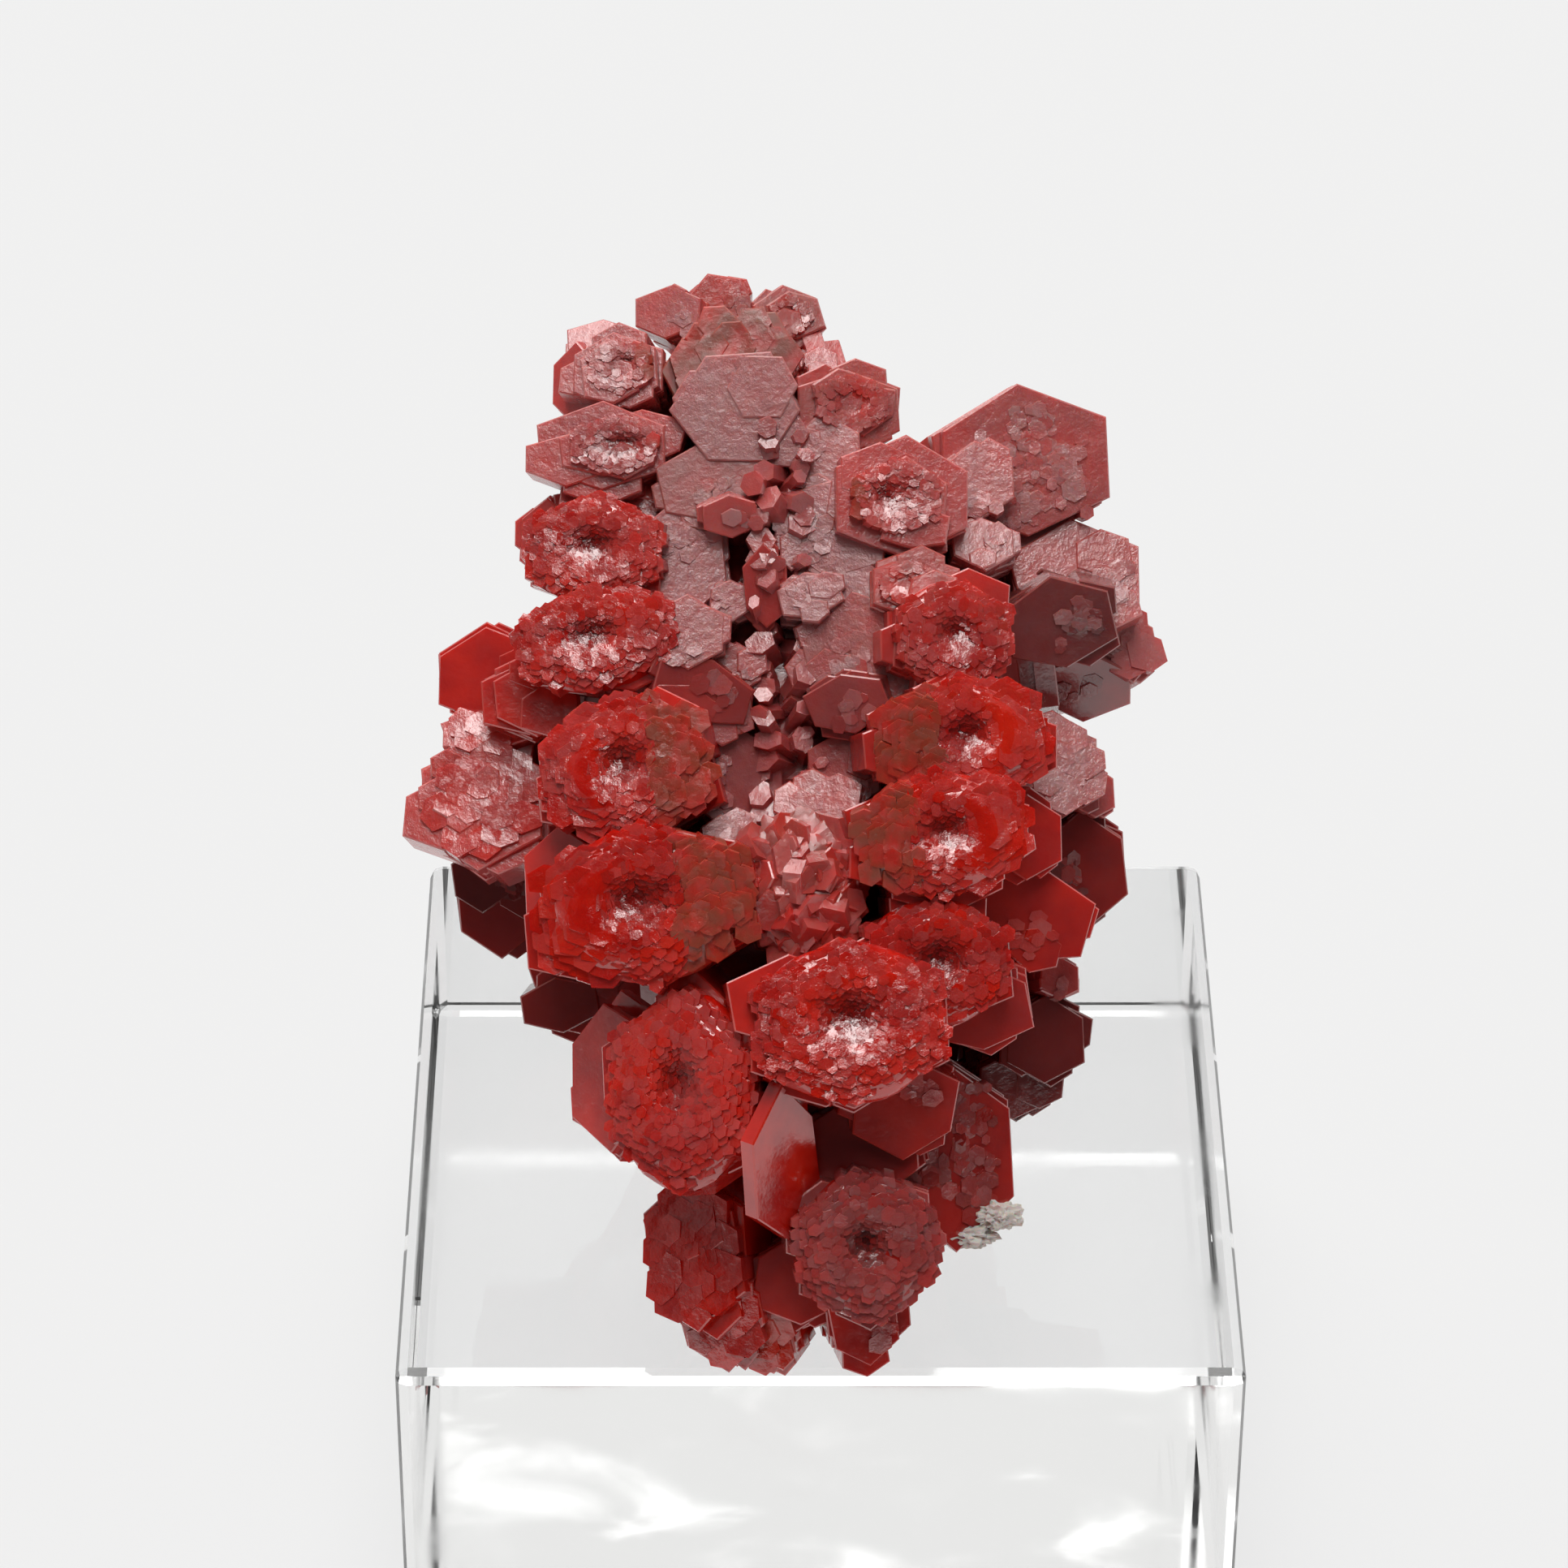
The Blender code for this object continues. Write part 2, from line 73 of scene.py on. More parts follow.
camera = bpy.data.objects.new("camera", bpy.data.cameras.new("camera"))
bpy.context.scene.collection.objects.link(camera)
camera.data.lens = CAMERA_LENS
camera.data.clip_start = 0.01
camera.matrix_world = (
    Matrix.Translation(Vector(CAMERA_PLACE) * MM)
    @ Matrix.Rotation(-CAMERA_YAW, 4, "Z")
    @ Matrix.Rotation(math.radians(90.0) - CAMERA_PITCH, 4, "X")
    @ Matrix.Rotation(CAMERA_ROLL, 4, "Z")
)
bpy.context.scene.camera = camera

# Floor: a sheet that glows evenly like a light table, so that the block on it looks pale too. It is
# much larger than the view, so that no edge of it shows.
FLOOR_SIDE = 3.0
FLOOR_DROP = 0.0002
FLOOR_COLOUR = (0.12, 0.12, 0.12, 1.0)
FLOOR_GLOW = 0.70
FLOOR_ROUGHNESS = 0.9
FLOOR_SPECULAR = 0.2
WHITE = (1.0, 1.0, 1.0, 1.0)


def set_values(node, values):
    """Gives a node's inputs their values, by name."""
    for name, value in values.items():
        node.inputs[name].default_value = value


def new_material(name):
    """A material and its shader."""
    made = bpy.data.materials.new(name)
    made.use_nodes = True
    return made, made.node_tree.nodes["Principled BSDF"]


def object_of(shape, name):
    """Turns a bmesh into an object."""
    made = bpy.data.objects.new(name, bpy.data.meshes.new(name))
    shape.to_mesh(made.data)
    shape.free()
    return made


form = bmesh.new()
bmesh.ops.create_grid(form, x_segments=1, y_segments=1, size=0.5 * FLOOR_SIDE)
bmesh.ops.translate(form, vec=(0.0, 0.0, -FLOOR_DROP), verts=form.verts)
floor = object_of(form, "floor")
bpy.context.scene.collection.objects.link(floor)
paper, paper_shader = new_material("matt_paper")
set_values(paper_shader, {
    "Base Color": FLOOR_COLOUR,
    "Emission Color": WHITE,
    "Emission Strength": FLOOR_GLOW,
    "Roughness": FLOOR_ROUGHNESS,
    "Specular IOR Level": FLOOR_SPECULAR,
})
floor.data.materials.append(paper)

# Light: a dim ceiling with three small bright patches in it, and a pale backdrop behind. The walls
# are dim, a little lighter low down, and the camera's side is dark, so clean faces that look at the
# camera stay deep red, and only faces that nod upwards, and bevelled rims, glint.
ROOM_STRENGTH = 0.22
DARK_AXIS = (0.0, -0.85, 0.527)
DARK_COSINES = (0.50, 0.85)
DARK_SHARE = 0.90
LIGHT_PATCHES = [
    ((0.0, 0.0, 1.0), (0.70, 0.92), 0.50),
    ((0.0, -0.12, 0.993), (0.950, 0.975), 7.5),
    ((-0.15, 0.36, 0.921), (0.89, 0.95), 4.0),
    ((0.0, -0.36, 0.933), (0.970, 0.988), 4.0),
]
ROW_WIDTH = (0.62, 0.34)
LOW_WALLS = 0.26
LOW_WALL_HEIGHTS = (0.10, 0.40)
BACKDROP = ((0.0, 1.0, 0.0), (0.15, 0.55), 0.82)
LIGHT_COLOUR = (1.0, 0.995, 0.985, 1.0)

room = bpy.data.worlds.new("room")
room.use_nodes = True
room_nodes, room_links = room.node_tree.nodes, room.node_tree.links
direction = room_nodes.new("ShaderNodeTexCoord").outputs["Generated"]


def feed(tree, socket, value):
    """Gives a node's input a fixed value or another node's output."""
    if isinstance(value, (float, tuple)):
        socket.default_value = value
    else:
        tree.links.new(value, socket)


def work_out(tree, operation, one, two, kind="ShaderNodeMath", output=0):
    """The result of a sum with two values, each fixed or another node's output."""
    node = tree.nodes.new(kind)
    node.operation = operation
    feed(tree, node.inputs[0], one)
    feed(tree, node.inputs[1], two)
    return node.outputs[output]


def stretch(tree, value, low, high, start=0.0, end=1.0, curve="LINEAR"):
    """Carries a value's range from low to high over to the one from start to end."""
    node = tree.nodes.new("ShaderNodeMapRange")
    node.interpolation_type = curve
    tree.links.new(value, node.inputs["Value"])
    set_values(node, {"From Min": low, "From Max": high, "To Min": start, "To Max": end})
    return node.outputs["Result"]


room_math = partial(work_out, room.node_tree)
soft_step = partial(stretch, room.node_tree, curve="SMOOTHSTEP")


def patch_of_room(axis, cosines, strength):
    """A soft-edged round patch of the room that lies in that direction."""
    along = room_math("DOT_PRODUCT", direction, axis, "ShaderNodeVectorMath", "Value")
    return soft_step(along, *cosines, 0.0, strength)


overhead = patch_of_room(*LIGHT_PATCHES[0])
for light_patch in LIGHT_PATCHES[1:]:
    overhead = room_math("MAXIMUM", overhead, patch_of_room(*light_patch))
parts = room_nodes.new("ShaderNodeSeparateXYZ")
room_links.new(direction, parts.inputs["Vector"])
sideways = room_math("ABSOLUTE", parts.outputs["X"], 0.0)
overhead = room_math("MULTIPLY", overhead, soft_step(sideways, *ROW_WIDTH))
dark = patch_of_room(DARK_AXIS, DARK_COSINES, DARK_SHARE)
height = room_math("ABSOLUTE", parts.outputs["Z"], 0.0)
lowness = room_math("SUBTRACT", 1.0, soft_step(height, *LOW_WALL_HEIGHTS))
walls = room_math("MAXIMUM", ROOM_STRENGTH, room_math("MULTIPLY", LOW_WALLS, lowness))
walls = room_math("MULTIPLY", walls, room_math("SUBTRACT", 1.0, dark))
walls = room_math("MAXIMUM", walls, patch_of_room(*BACKDROP))
room_light = room_math("MAXIMUM", walls, overhead)
room_links.new(room_light, room_nodes["Background"].inputs["Strength"])
room_nodes["Background"].inputs["Color"].default_value = LIGHT_COLOUR
bpy.context.scene.world = room
bpy.context.scene.view_settings.view_transform = "Standard"

# Tablets: one natural mass of intergrown six-sided vanadinite crystals, each a pile of thin growth
# layers, in two rows beside a groove, with a crown above and a foot below. Each row of the tables
# gives what crystal() asks for; places are in mm across, up along, and out towards who looks at it.
FACE_LEAN = math.radians(36.3)
TIP_FORWARD = 14.4
SPINE_ACROSS = -1.3
MASS_CENTRE = Vector((SPINE_ACROSS, 19.0, -4.6))
MASS_HALF = Vector((8.0, 14.8, 5.8))
ROOT_TAPER = 0.34
ROOT_PULL = 0.22
ROOT_RISE = 0.8
ROOT_SPINE_OUT = -5.5
ROOT_DEPTH = 4.5
LAYER_THICK = 0.62
LAYER_LAP = 0.12
LAYER_SWING = 0.045
STACK_THICK = 0.55 * LAYER_THICK
STACK_SWING = 2.2 * LAYER_SWING
CORNER_SWING = 0.09
TONE_SWING = 0.12
RIM_BEVEL = 0.05
RIM_SHARES = (0.3, 0.6)
ROOT_CLEAR = 1.0
LAYER_SEED = 11
BLOOM_FIT = 0.95
TWINS = 3
TWIN_SHARE = (0.40, 0.68)
TWIN_PLACE = 0.62
TWIN_DROP = (-0.10, 0.40)
TWIN_STRAY = 0.8
TWIN_HEIGHTS = (0.85, 1.1)
TWIN_THICK = 0.75
HEX_FLAT = math.cos(math.radians(30.0))

block_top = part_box("display_block")[1].z
FACE = (
    Matrix.Translation((0.0, -TIP_FORWARD * MM, block_top))
    @ Matrix.Rotation(math.radians(90.0) - FACE_LEAN, 4, "X")
    @ Matrix.Scale(MM, 4)
)


def crystal(name, at, half, thick, turns, kind="plate", frost=0.3, tone=0.0):
    """One crystal: its face's middle, half width and height, thickness, how far it turns to the
    right, nods up and spins in degrees, how its face grew, its frosting, whose pinkish grey is
    partly a painted sheen, and its tone from dark (minus one) through red to brown (one), whose
    dark end is partly painted shade."""
    turn, nod, spin = (math.radians(degrees) for degrees in turns)
    placement = (
        Matrix.Translation(at)
        @ Matrix.Rotation(turn, 4, "Y")
        @ Matrix.Rotation(-nod, 4, "X")
        @ Matrix.Rotation(spin, 4, "Z")
    )
    return {
        "name": name,
        "at": Vector(at),
        "half": half,
        "thick": thick,
        "placement": placement,
        "kind": kind,
        "frost": frost,
        "tone": tone,
    }


CROWN = [
    ("top_left", (-5.4, 37.2, -1.6), (1.2, 1.0), 3.0, (-20, 14, 0), "plate", 0.6, 0.1),
    ("top_point", (-3.6, 37.6, -2.2), (1.1, 1.0), 3.2, (0, 5, 20), "plate", 0.3, 0.5),
    ("top_right", (-1.1, 37.0, -1.8), (1.2, 1.2), 2.8, (14, 12, 10), "eye", 0.45, 0.5),
    ("crown_ledge", (-3.0, 35.0, 0.5), (1.9, 2.2), 3.0, (0, 6, 30), "disc", 0.1, 1.0),
    ("crown_face", (-2.9, 33.5, 1.8), (1.9, 2.2), 2.8, (0, 2, 30), "plate", 0.95, 0.1),
    ("crown_tail", (-2.4, 31.8, 1.4), (1.1, 1.4), 2.4, (4, -4, 8), "plate", 0.85, -0.1),
]

LEFT_ROW = [
    ("left_shoulder_back", (-7.8, 36.2, -1.4), (1.2, 0.8), 3.0, (-8, 26, 0), "plate", 0.4),
    ("left_shoulder_side", (-8.7, 34.5, -0.9), (1.0, 1.4), 3.2, (-34, 2, 0), "stack", 0.3),
    ("left_shoulder", (-7.3, 35.0, 0.6), (1.5, 1.4), 3.0, (-8, 10, 4), "eye", 0.65),
    ("left_eye", (-7.6, 32.2, 1.4), (2.3, 1.6), 2.6, (-6, 6, 0), "eye", 0.55),
    ("left_eye_foot", (-6.7, 30.5, 0.6), (2.6, 1.0), 2.6, (4, 26, 0), "plate", 0.55, -0.1),
    ("left_bloom_1_side", (-9.7, 29.0, 0.2), (1.0, 1.5), 3.2, (-24, 4, 0), "stack", 0.2),
    ("left_bloom_1", (-7.9, 28.6, 2.0), (2.4, 2.0), 3.0, (-8, 6, 0), "bloom", 0.15),
    ("left_smooth_1", (-4.8, 28.3, 1.9), (1.5, 2.1), 2.4, (6, 6, 6), "plate", 0.9, 0.1),
    ("left_bloom_2", (-7.8, 25.5, 2.6), (2.8, 1.9), 2.8, (-8, 6, 10), "bloom", 0.15),
    ("left_plate_1", (-4.7, 25.7, 3.2), (1.3, 1.3), 1.8, (4, 6, 0), "plate", 0.85, 0.1),
    ("far_left_top", (-11.7, 24.4, -1.0), (1.9, 1.8), 3.4, (-12, 6, 4), "stack", 0.1),
    ("far_left_mid", (-10.2, 23.6, 0.8), (1.5, 1.4), 2.8, (2, 6, 4), "stack", 0.1, 0.1),
    ("far_left_lip", (-11.7, 22.4, -0.6), (1.6, 0.9), 2.0, (-10, 22, 6), "disc", 0.2),
    ("far_left_disc", (-12.0, 19.9, -0.2), (2.2, 2.4), 3.0, (-8, 12, 0), "disc", 0.3),
    # Its dark tone is painted shade: it lies low at the back, in the shadow of the crystals in front.
    ("left_low_back", (-11.5, 16.2, -3.2), (1.5, 1.9), 3.4, (-8, -6, 4), "plate", 0.1, -0.6),
    ("left_bloom_3", (-6.6, 21.0, 4.2), (2.7, 2.6), 3.4, (-12, 6, 8), "bloom", 0.12),
    ("left_bloom_4_side", (-9.0, 16.9, 3.0), (1.4, 2.0), 3.4, (-24, 4, 6), "stack", 0.1),
    ("left_bloom_4", (-6.0, 16.3, 5.2), (3.6, 2.8), 3.6, (-10, 0, 8), "bloom", 0.08),
    ("left_low_plate", (-8.2, 13.2, -1.0), (2.0, 1.7), 3.4, (-6, -8, 8), "plate", 0.1, -0.5),
    ("left_oval", (-4.1, 23.7, 3.0), (1.7, 1.2), 1.8, (12, -8, -18), "plate", 0.3, -0.3),
    ("left_bloom_5_side", (-7.6, 10.4, 3.0), (1.7, 2.6), 3.4, (-42, 4, 8), "stack", 0.15),
    ("left_bloom_5", (-4.7, 9.9, 5.0), (2.7, 3.6), 3.6, (-22, 2, 0), "bloom", 0.1),
]

FOOT = [
    ("rough_lump", (-0.7, 16.8, 4.6), (1.9, 2.4), 2.8, (4, 4, 20), "rough", 0.25, 0.3),
    ("mid_bloom", (0.9, 12.3, 6.6), (3.4, 2.9), 3.6, (4, 4, 4), "bloom", 0.1),
    ("mid_bloom_skirt", (2.8, 9.2, 4.6), (1.8, 1.8), 2.4, (8, -12, 0), "plate", 0.12, -0.2),
    ("right_big_plate", (4.6, 7.5, 2.2), (2.2, 3.2), 3.4, (16, -6, 4), "lone", 0.08, -0.4),
    ("foot_hexagon", (1.5, 4.5, 4.2), (2.4, 2.7), 3.4, (4, -6, 8), "bloom", 0.35, -0.3),
    ("foot_chip", (3.7, 4.6, 3.2), (0.6, 0.7), 2.0, (24, 4, 0), "plate", 0.4, 0.1),
    ("foot_blade", (-1.2, 7.4, 5.6), (1.6, 2.9), 0.9, (50, -14, 20), "blade", 0.0, -0.1),
    ("foot_column", (-4.5, 4.0, 1.8), (1.7, 2.8), 3.0, (-24, 0, 6), "disc", 0.0, -0.15),
    ("foot_left", (-3.6, 1.9, 1.4), (1.5, 2.2), 3.0, (-20, -14, 6), "disc", 0.0, -0.10),
    ("foot_tip", (-2.0, 1.0, 1.2), (1.1, 1.4), 2.6, (-16, -16, 10), "disc", 0.0, 0.4),
    ("foot_right", (1.6, 1.6, 2.0), (1.2, 1.6), 2.8, (8, -12, 8), "plate", 0.1, -0.1),
    ("foot_middle", (-0.8, 3.1, 2.0), (1.6, 1.7), 2.6, (0, 0, 0), "stack", 0.2, -0.2),
    ("foot_shade", (1.3, 7.9, 3.6), (2.2, 2.0), 3.0, (-4, -4, 10), "stack", 0.1, -0.3),
]

RIGHT_ROW = [
    ("right_top_chip", (0.0, 35.4, -0.8), (0.6, 0.6), 2.2, (10, 22, 0), "plate", 0.7),
    ("right_top_bloom", (1.0, 33.7, 0.8), (1.8, 1.5), 3.0, (14, 6, 0), "eye", 0.5, 0.3),
    ("right_smooth_1", (0.1, 31.9, 1.5), (1.3, 1.6), 2.2, (-4, 6, 6), "plate", 0.85, 0.1),
    ("right_bloom_1", (3.0, 30.3, 2.6), (2.3, 2.1), 3.0, (6, 6, 0), "eye", 0.45, 0.1),
    ("right_plate_1", (5.7, 28.9, 1.4), (1.1, 1.0), 2.2, (10, 18, 0), "plate", 0.75),
    ("right_wing", (7.2, 31.7, -0.4), (2.9, 2.7), 2.6, (8, 2, 4), "lone", 0.55, 0.1),
    ("right_wing_lap", (5.5, 31.1, 0.8), (1.2, 1.4), 2.2, (4, 8, 5), "plate", 0.7),
    ("right_smooth_2", (0.5, 29.5, 2.2), (1.7, 1.9), 2.4, (-6, 6, -8), "plate", 0.95),
    ("right_shelf", (9.2, 27.6, -0.6), (2.3, 2.1), 3.2, (8, 12, 5), "plate", 0.6, 0.1),
    ("right_dark_oval", (8.3, 26.0, 0.8), (1.9, 1.7), 2.8, (4, -14, 12), "plate", 0.25, -0.6),
    ("right_tail", (10.9, 25.4, -2.0), (1.0, 1.3), 2.8, (16, 10, 8), "disc", 0.6),
    # Its dark tone is painted shade: this underside lies in shadow under the crystals above.
    ("right_under", (9.5, 23.9, -1.8), (1.6, 1.4), 2.6, (10, -34, 0), "plate", 0.1, -0.5),
    ("right_smooth_3", (0.8, 27.6, 2.4), (1.5, 1.2), 2.0, (-8, 8, -20), "plate", 0.95),
    ("right_bloom_2", (3.3, 27.3, 3.4), (1.5, 1.2), 2.6, (4, 8, 0), "eye", 0.4, 0.4),
    ("right_bloom_3", (4.5, 25.5, 3.8), (2.1, 2.1), 3.0, (10, 4, 0), "bloom", 0.2, 0.1),
    ("right_smooth_4", (1.6, 24.6, 2.8), (2.2, 2.6), 2.6, (-10, 2, 12), "plate", 0.7, 0.3),
    ("right_oval", (0.9, 23.3, 3.4), (1.4, 1.1), 1.8, (-10, -4, 14), "plate", 0.35, -0.3),
    ("right_bloom_4", (4.7, 22.0, 4.6), (2.9, 2.2), 3.2, (10, 2, 5), "bloom", 0.12, 0.1),
    ("right_grey", (8.2, 21.1, -0.2), (1.5, 1.7), 3.0, (14, 12, 0), "disc", 0.85),
    ("right_grey_back", (9.8, 20.2, -1.6), (0.7, 1.0), 2.6, (16, 4, 0), "stack", 0.5),
    # Its dark tone is painted shade: it lies low at the back, in the shadow of the crystals in front.
    ("right_low_back", (9.4, 17.5, -2.0), (1.6, 2.1), 3.2, (8, -6, 4), "plate", 0.1, -0.6),
    ("right_bloom_5", (4.0, 18.7, 5.6), (2.9, 2.2), 3.4, (8, 2, 5), "bloom", 0.1, 0.05),
    ("right_bloom_5_side", (7.0, 18.5, 3.4), (1.3, 1.6), 2.8, (16, -2, 0), "stack", 0.1),
    ("right_red_plate", (7.3, 15.8, 2.4), (2.0, 1.8), 3.0, (12, -4, -14), "plate", 0.1),
    ("right_bloom_6", (3.9, 14.3, 5.4), (2.6, 2.3), 3.4, (8, 0, 0), "bloom", 0.1, -0.1),
    ("right_skirt", (5.6, 12.8, 4.0), (1.7, 1.6), 2.8, (10, -10, 6), "stack", 0.15, -0.2),
    # The dark tones of these two are painted shade: they lie in the shadow behind other crystals.
    ("right_low_dark", (7.9, 11.5, -0.4), (1.4, 1.6), 3.4, (12, -6, 0), "stack", 0.1, -0.6),
    ("right_low_dark_2", (7.0, 9.7, -1.0), (1.3, 1.3), 3.2, (12, -14, 0), "stack", 0.1, -0.7),
    ("right_low_chip", (8.4, 13.6, 0.0), (0.7, 0.8), 2.4, (18, 6, 0), "plate", 0.3, -0.2),
]

GROOVE_PLATES = [
    ("neck_plate", (-3.7, 31.0, 1.8), (1.9, 1.6), 2.2, (0, 4, 10), "plate", 0.6, 0.5),
    ("neck_hexagon", (-3.2, 29.8, 2.5), (0.9, 0.8), 1.8, (2, -12, 5), "plate", 0.5, 0.1),
    ("neck_fleck", (-1.0, 29.4, 2.0), (0.6, 1.3), 1.8, (2, 8, 0), "plate", 0.9),
    ("groove_post", (-2.0, 27.3, 2.4), (0.75, 1.5), 2.0, (-4, -4, 2), "plate", 0.3, -0.3),
    ("groove_chip", (-0.4, 27.0, 2.7), (1.1, 0.9), 1.8, (-4, 8, 15), "plate", 0.95),
    ("groove_hexagon", (-3.2, 26.9, 2.2), (0.7, 0.8), 1.8, (8, 8, 0), "plate", 0.9),
    ("groove_step", (-0.1, 25.7, 2.4), (0.8, 0.7), 1.8, (-6, 6, 10), "plate", 0.8),
    ("groove_under", (-2.9, 24.6, 2.2), (0.8, 0.9), 1.8, (6, 6, 0), "plate", 0.7, -0.1),
    ("groove_low_chip", (-0.5, 24.4, 2.4), (0.7, 0.8), 1.8, (-6, 4, 20), "plate", 0.7),
    ("groove_left_small", (-3.3, 22.9, 2.4), (0.9, 1.0), 1.8, (10, 4, 0), "plate", 0.6, -0.2),
    ("groove_left_plate", (-3.2, 20.6, 2.2), (1.5, 2.0), 2.2, (16, 4, 0), "plate", 0.45, -0.3),
    ("groove_left_fleck", (-2.9, 18.2, 3.2), (1.1, 1.2), 2.0, (8, 16, 0), "disc", 0.8, 0.2),
    ("groove_right_plate", (0.8, 20.9, 2.6), (1.3, 1.4), 2.0, (-12, 4, 0), "plate", 0.5, -0.2),
    ("groove_right_low", (-0.3, 19.7, 3.0), (1.1, 0.8), 1.8, (-10, 14, 0), "disc", 0.6, 0.2),
]

FINISHES = ("frost", "tone", "scaly")
crystals_collection = bpy.data.collections.new("crystals")
layer_chance = random.Random(LAYER_SEED)


def hexagon_layer(half, thick, bevel, chance, uneven_by=CORNER_SWING):
    """A six-sided layer with a point at the top and uneven corners, its front face at zero."""
    layer = bmesh.new()
    bmesh.ops.create_cone(layer, cap_ends=True, segments=6, radius1=1.0, radius2=1.0, depth=thick)
    uneven = [1.0 + chance.uniform(-uneven_by, uneven_by) for _ in range(6)]
    for point in layer.verts:
        corner = round(math.degrees(math.atan2(point.co.y, point.co.x)) / 60.0 - 0.5) % 6
        point.co.x *= uneven[corner] * half[0] / HEX_FLAT
        point.co.y *= uneven[corner] * half[1]
        point.co.z -= 0.5 * thick
    if bevel:
        rim = [edge for edge in layer.edges if all(point.co.z > -0.01 * thick for point in edge.verts)]
        width = min(bevel, RIM_SHARES[0] * min(half), RIM_SHARES[1] * thick)
        marks = layer.faces.layers.float.new("rim")
        beveled = bmesh.ops.bevel(
            layer, geom=rim, offset=width, offset_type="OFFSET", segments=1, profile=0.5, affect="EDGES"
        )
        for face in beveled["faces"]:
            face[marks] = 1.0
    return layer


def link_form(shape, name, finish):
    """Closes a bmesh into an object of the crystals' collection, with its finish stored on it: its
    frosting with its painted sheen, its tone (whose dark end is partly painted shade) and how scaly it
    is."""
    shape.normal_update()
    bmesh.ops.recalc_face_normals(shape, faces=shape.faces)
    made = object_of(shape, name)
    for finish_name, value in zip(FINISHES, finish):
        painted = made.data.attributes.new(finish_name, "FLOAT", "POINT")
        painted.data.foreach_set("value", [value] * len(made.data.vertices))
    crystals_collection.objects.link(made)
    return made


def root_of(at):
    """Where a crystal's root ends, deep in the mass."""
    across = SPINE_ACROSS + ROOT_PULL * (at.x - SPINE_ACROSS)
    up = MASS_CENTRE.y + ROOT_RISE * (at.y - MASS_CENTRE.y)
    return Vector((across, up, min(ROOT_SPINE_OUT, at.z - ROOT_DEPTH)))


def add_twins(stone, chance):
    """Smaller crystals grown parallel to a crystal round its rim, so that its outline is stepped."""
    half, thick = stone["half"], stone["thick"]
    for number in range(TWINS):
        around = 2.0 * math.pi * (number + chance.uniform(0.0, TWIN_STRAY)) / TWINS
        share = chance.uniform(*TWIN_SHARE)
        drop = chance.uniform(*TWIN_DROP)
        twin_half = (share * half[0], share * half[1] * chance.uniform(*TWIN_HEIGHTS))
        twin = hexagon_layer(twin_half, TWIN_THICK * thick, RIM_BEVEL, chance)
        place = (TWIN_PLACE * half[0] * math.cos(around), TWIN_PLACE * half[1] * math.sin(around), -drop)
        twin.transform(stone["placement"] @ Matrix.Translation(place))
        shade = stone["tone"] + chance.uniform(-TONE_SWING, TONE_SWING)
        link_form(twin, f"{stone['name']}_twin_{number}", (stone["frost"], shade, 0.0))


def add_layers(stone, root, layer_thick, swing):
    """A crystal's pile of growth layers, the last one carried on as a tapering root."""
    thick, chance = stone["thick"], layer_chance
    fit = BLOOM_FIT if stone["kind"] == "bloom" else 1.0
    half = [fit * side for side in stone["half"]]
    count = max(2, round(thick / layer_thick))
    for number in range(count):
        size = 1.0 + (chance.uniform(-swing, swing) if number else 0.0)
        layer_half = [size * side for side in half]
        layer = hexagon_layer(layer_half, thick / count + LAYER_LAP, RIM_BEVEL, chance)
        slide = Vector((
            chance.uniform(-swing, swing) * half[0],
            chance.uniform(-swing, swing) * half[1],
            -number * thick / count,
        ))
        if number == count - 1:
            last = min(layer.faces, key=lambda face: face.calc_center_median().z)
            towards = stone["placement"].inverted() @ root
            for point in last.verts:
                point.co.x = ROOT_TAPER * point.co.x + towards.x
                point.co.y = ROOT_TAPER * point.co.y + towards.y
                point.co.z = min(towards.z, -thick - ROOT_CLEAR) - slide.z
        layer.transform(stone["placement"] @ Matrix.Translation(slide))
        shade = stone["tone"] + chance.uniform(-TONE_SWING, TONE_SWING)
        link_form(layer, f"{stone['name']}_layer_{number}", (stone["frost"], shade, 0.0))


PILES = {"plate": (LAYER_THICK, LAYER_SWING), "stack": (STACK_THICK, STACK_SWING)}
placed = [crystal(*row) for row in CROWN + LEFT_ROW + FOOT + RIGHT_ROW + GROOVE_PLATES]
for stone in placed:
    layer_thick, swing = PILES.get(stone["kind"], PILES["plate"])
    add_layers(stone, root_of(stone["at"]), layer_thick, swing)
    if stone["kind"] not in ("blade", "lone"):
        add_twins(stone, layer_chance)

# Back crystals: the sides and the back are closed by plainer tablets of the same growth, row above
# row, each facing out of the mass. Every row gives: up, left edge, right edge, depth behind the face.
BACK_ROWS = [
    (4.5, -5.4, 3.6, 5.0),
    (8.8, -8.2, 6.2, 9.0),
    (13.0, -9.8, 8.0, 11.2),
    (17.2, -11.2, 9.2, 12.2),
    (21.4, -11.8, 9.2, 12.2),
    (25.6, -10.6, 9.8, 11.2),
    (29.8, -9.2, 8.0, 9.6),
    (33.8, -8.2, 2.2, 7.0),
]
BACK_SPACING = 4.4
BACK_START_OUT = -2.4
BACK_HALF = 2.5
BACK_THICK = 3.2
BACK_INSET = 0.6
BACK_STARTS = (0.25, 0.75)
BACK_DRIFT = 0.6
BACK_TILT = 1.0 / 420.0
BACK_NOD = 0.2
BACK_SPIN = 0.5
BACK_SIZES = (0.82, 1.12)
BACK_HEIGHTS = (0.9, 1.1)
BACK_FROST_SHEEN = 0.25
BACK_TONE = -0.2
BACK_SEED = 7

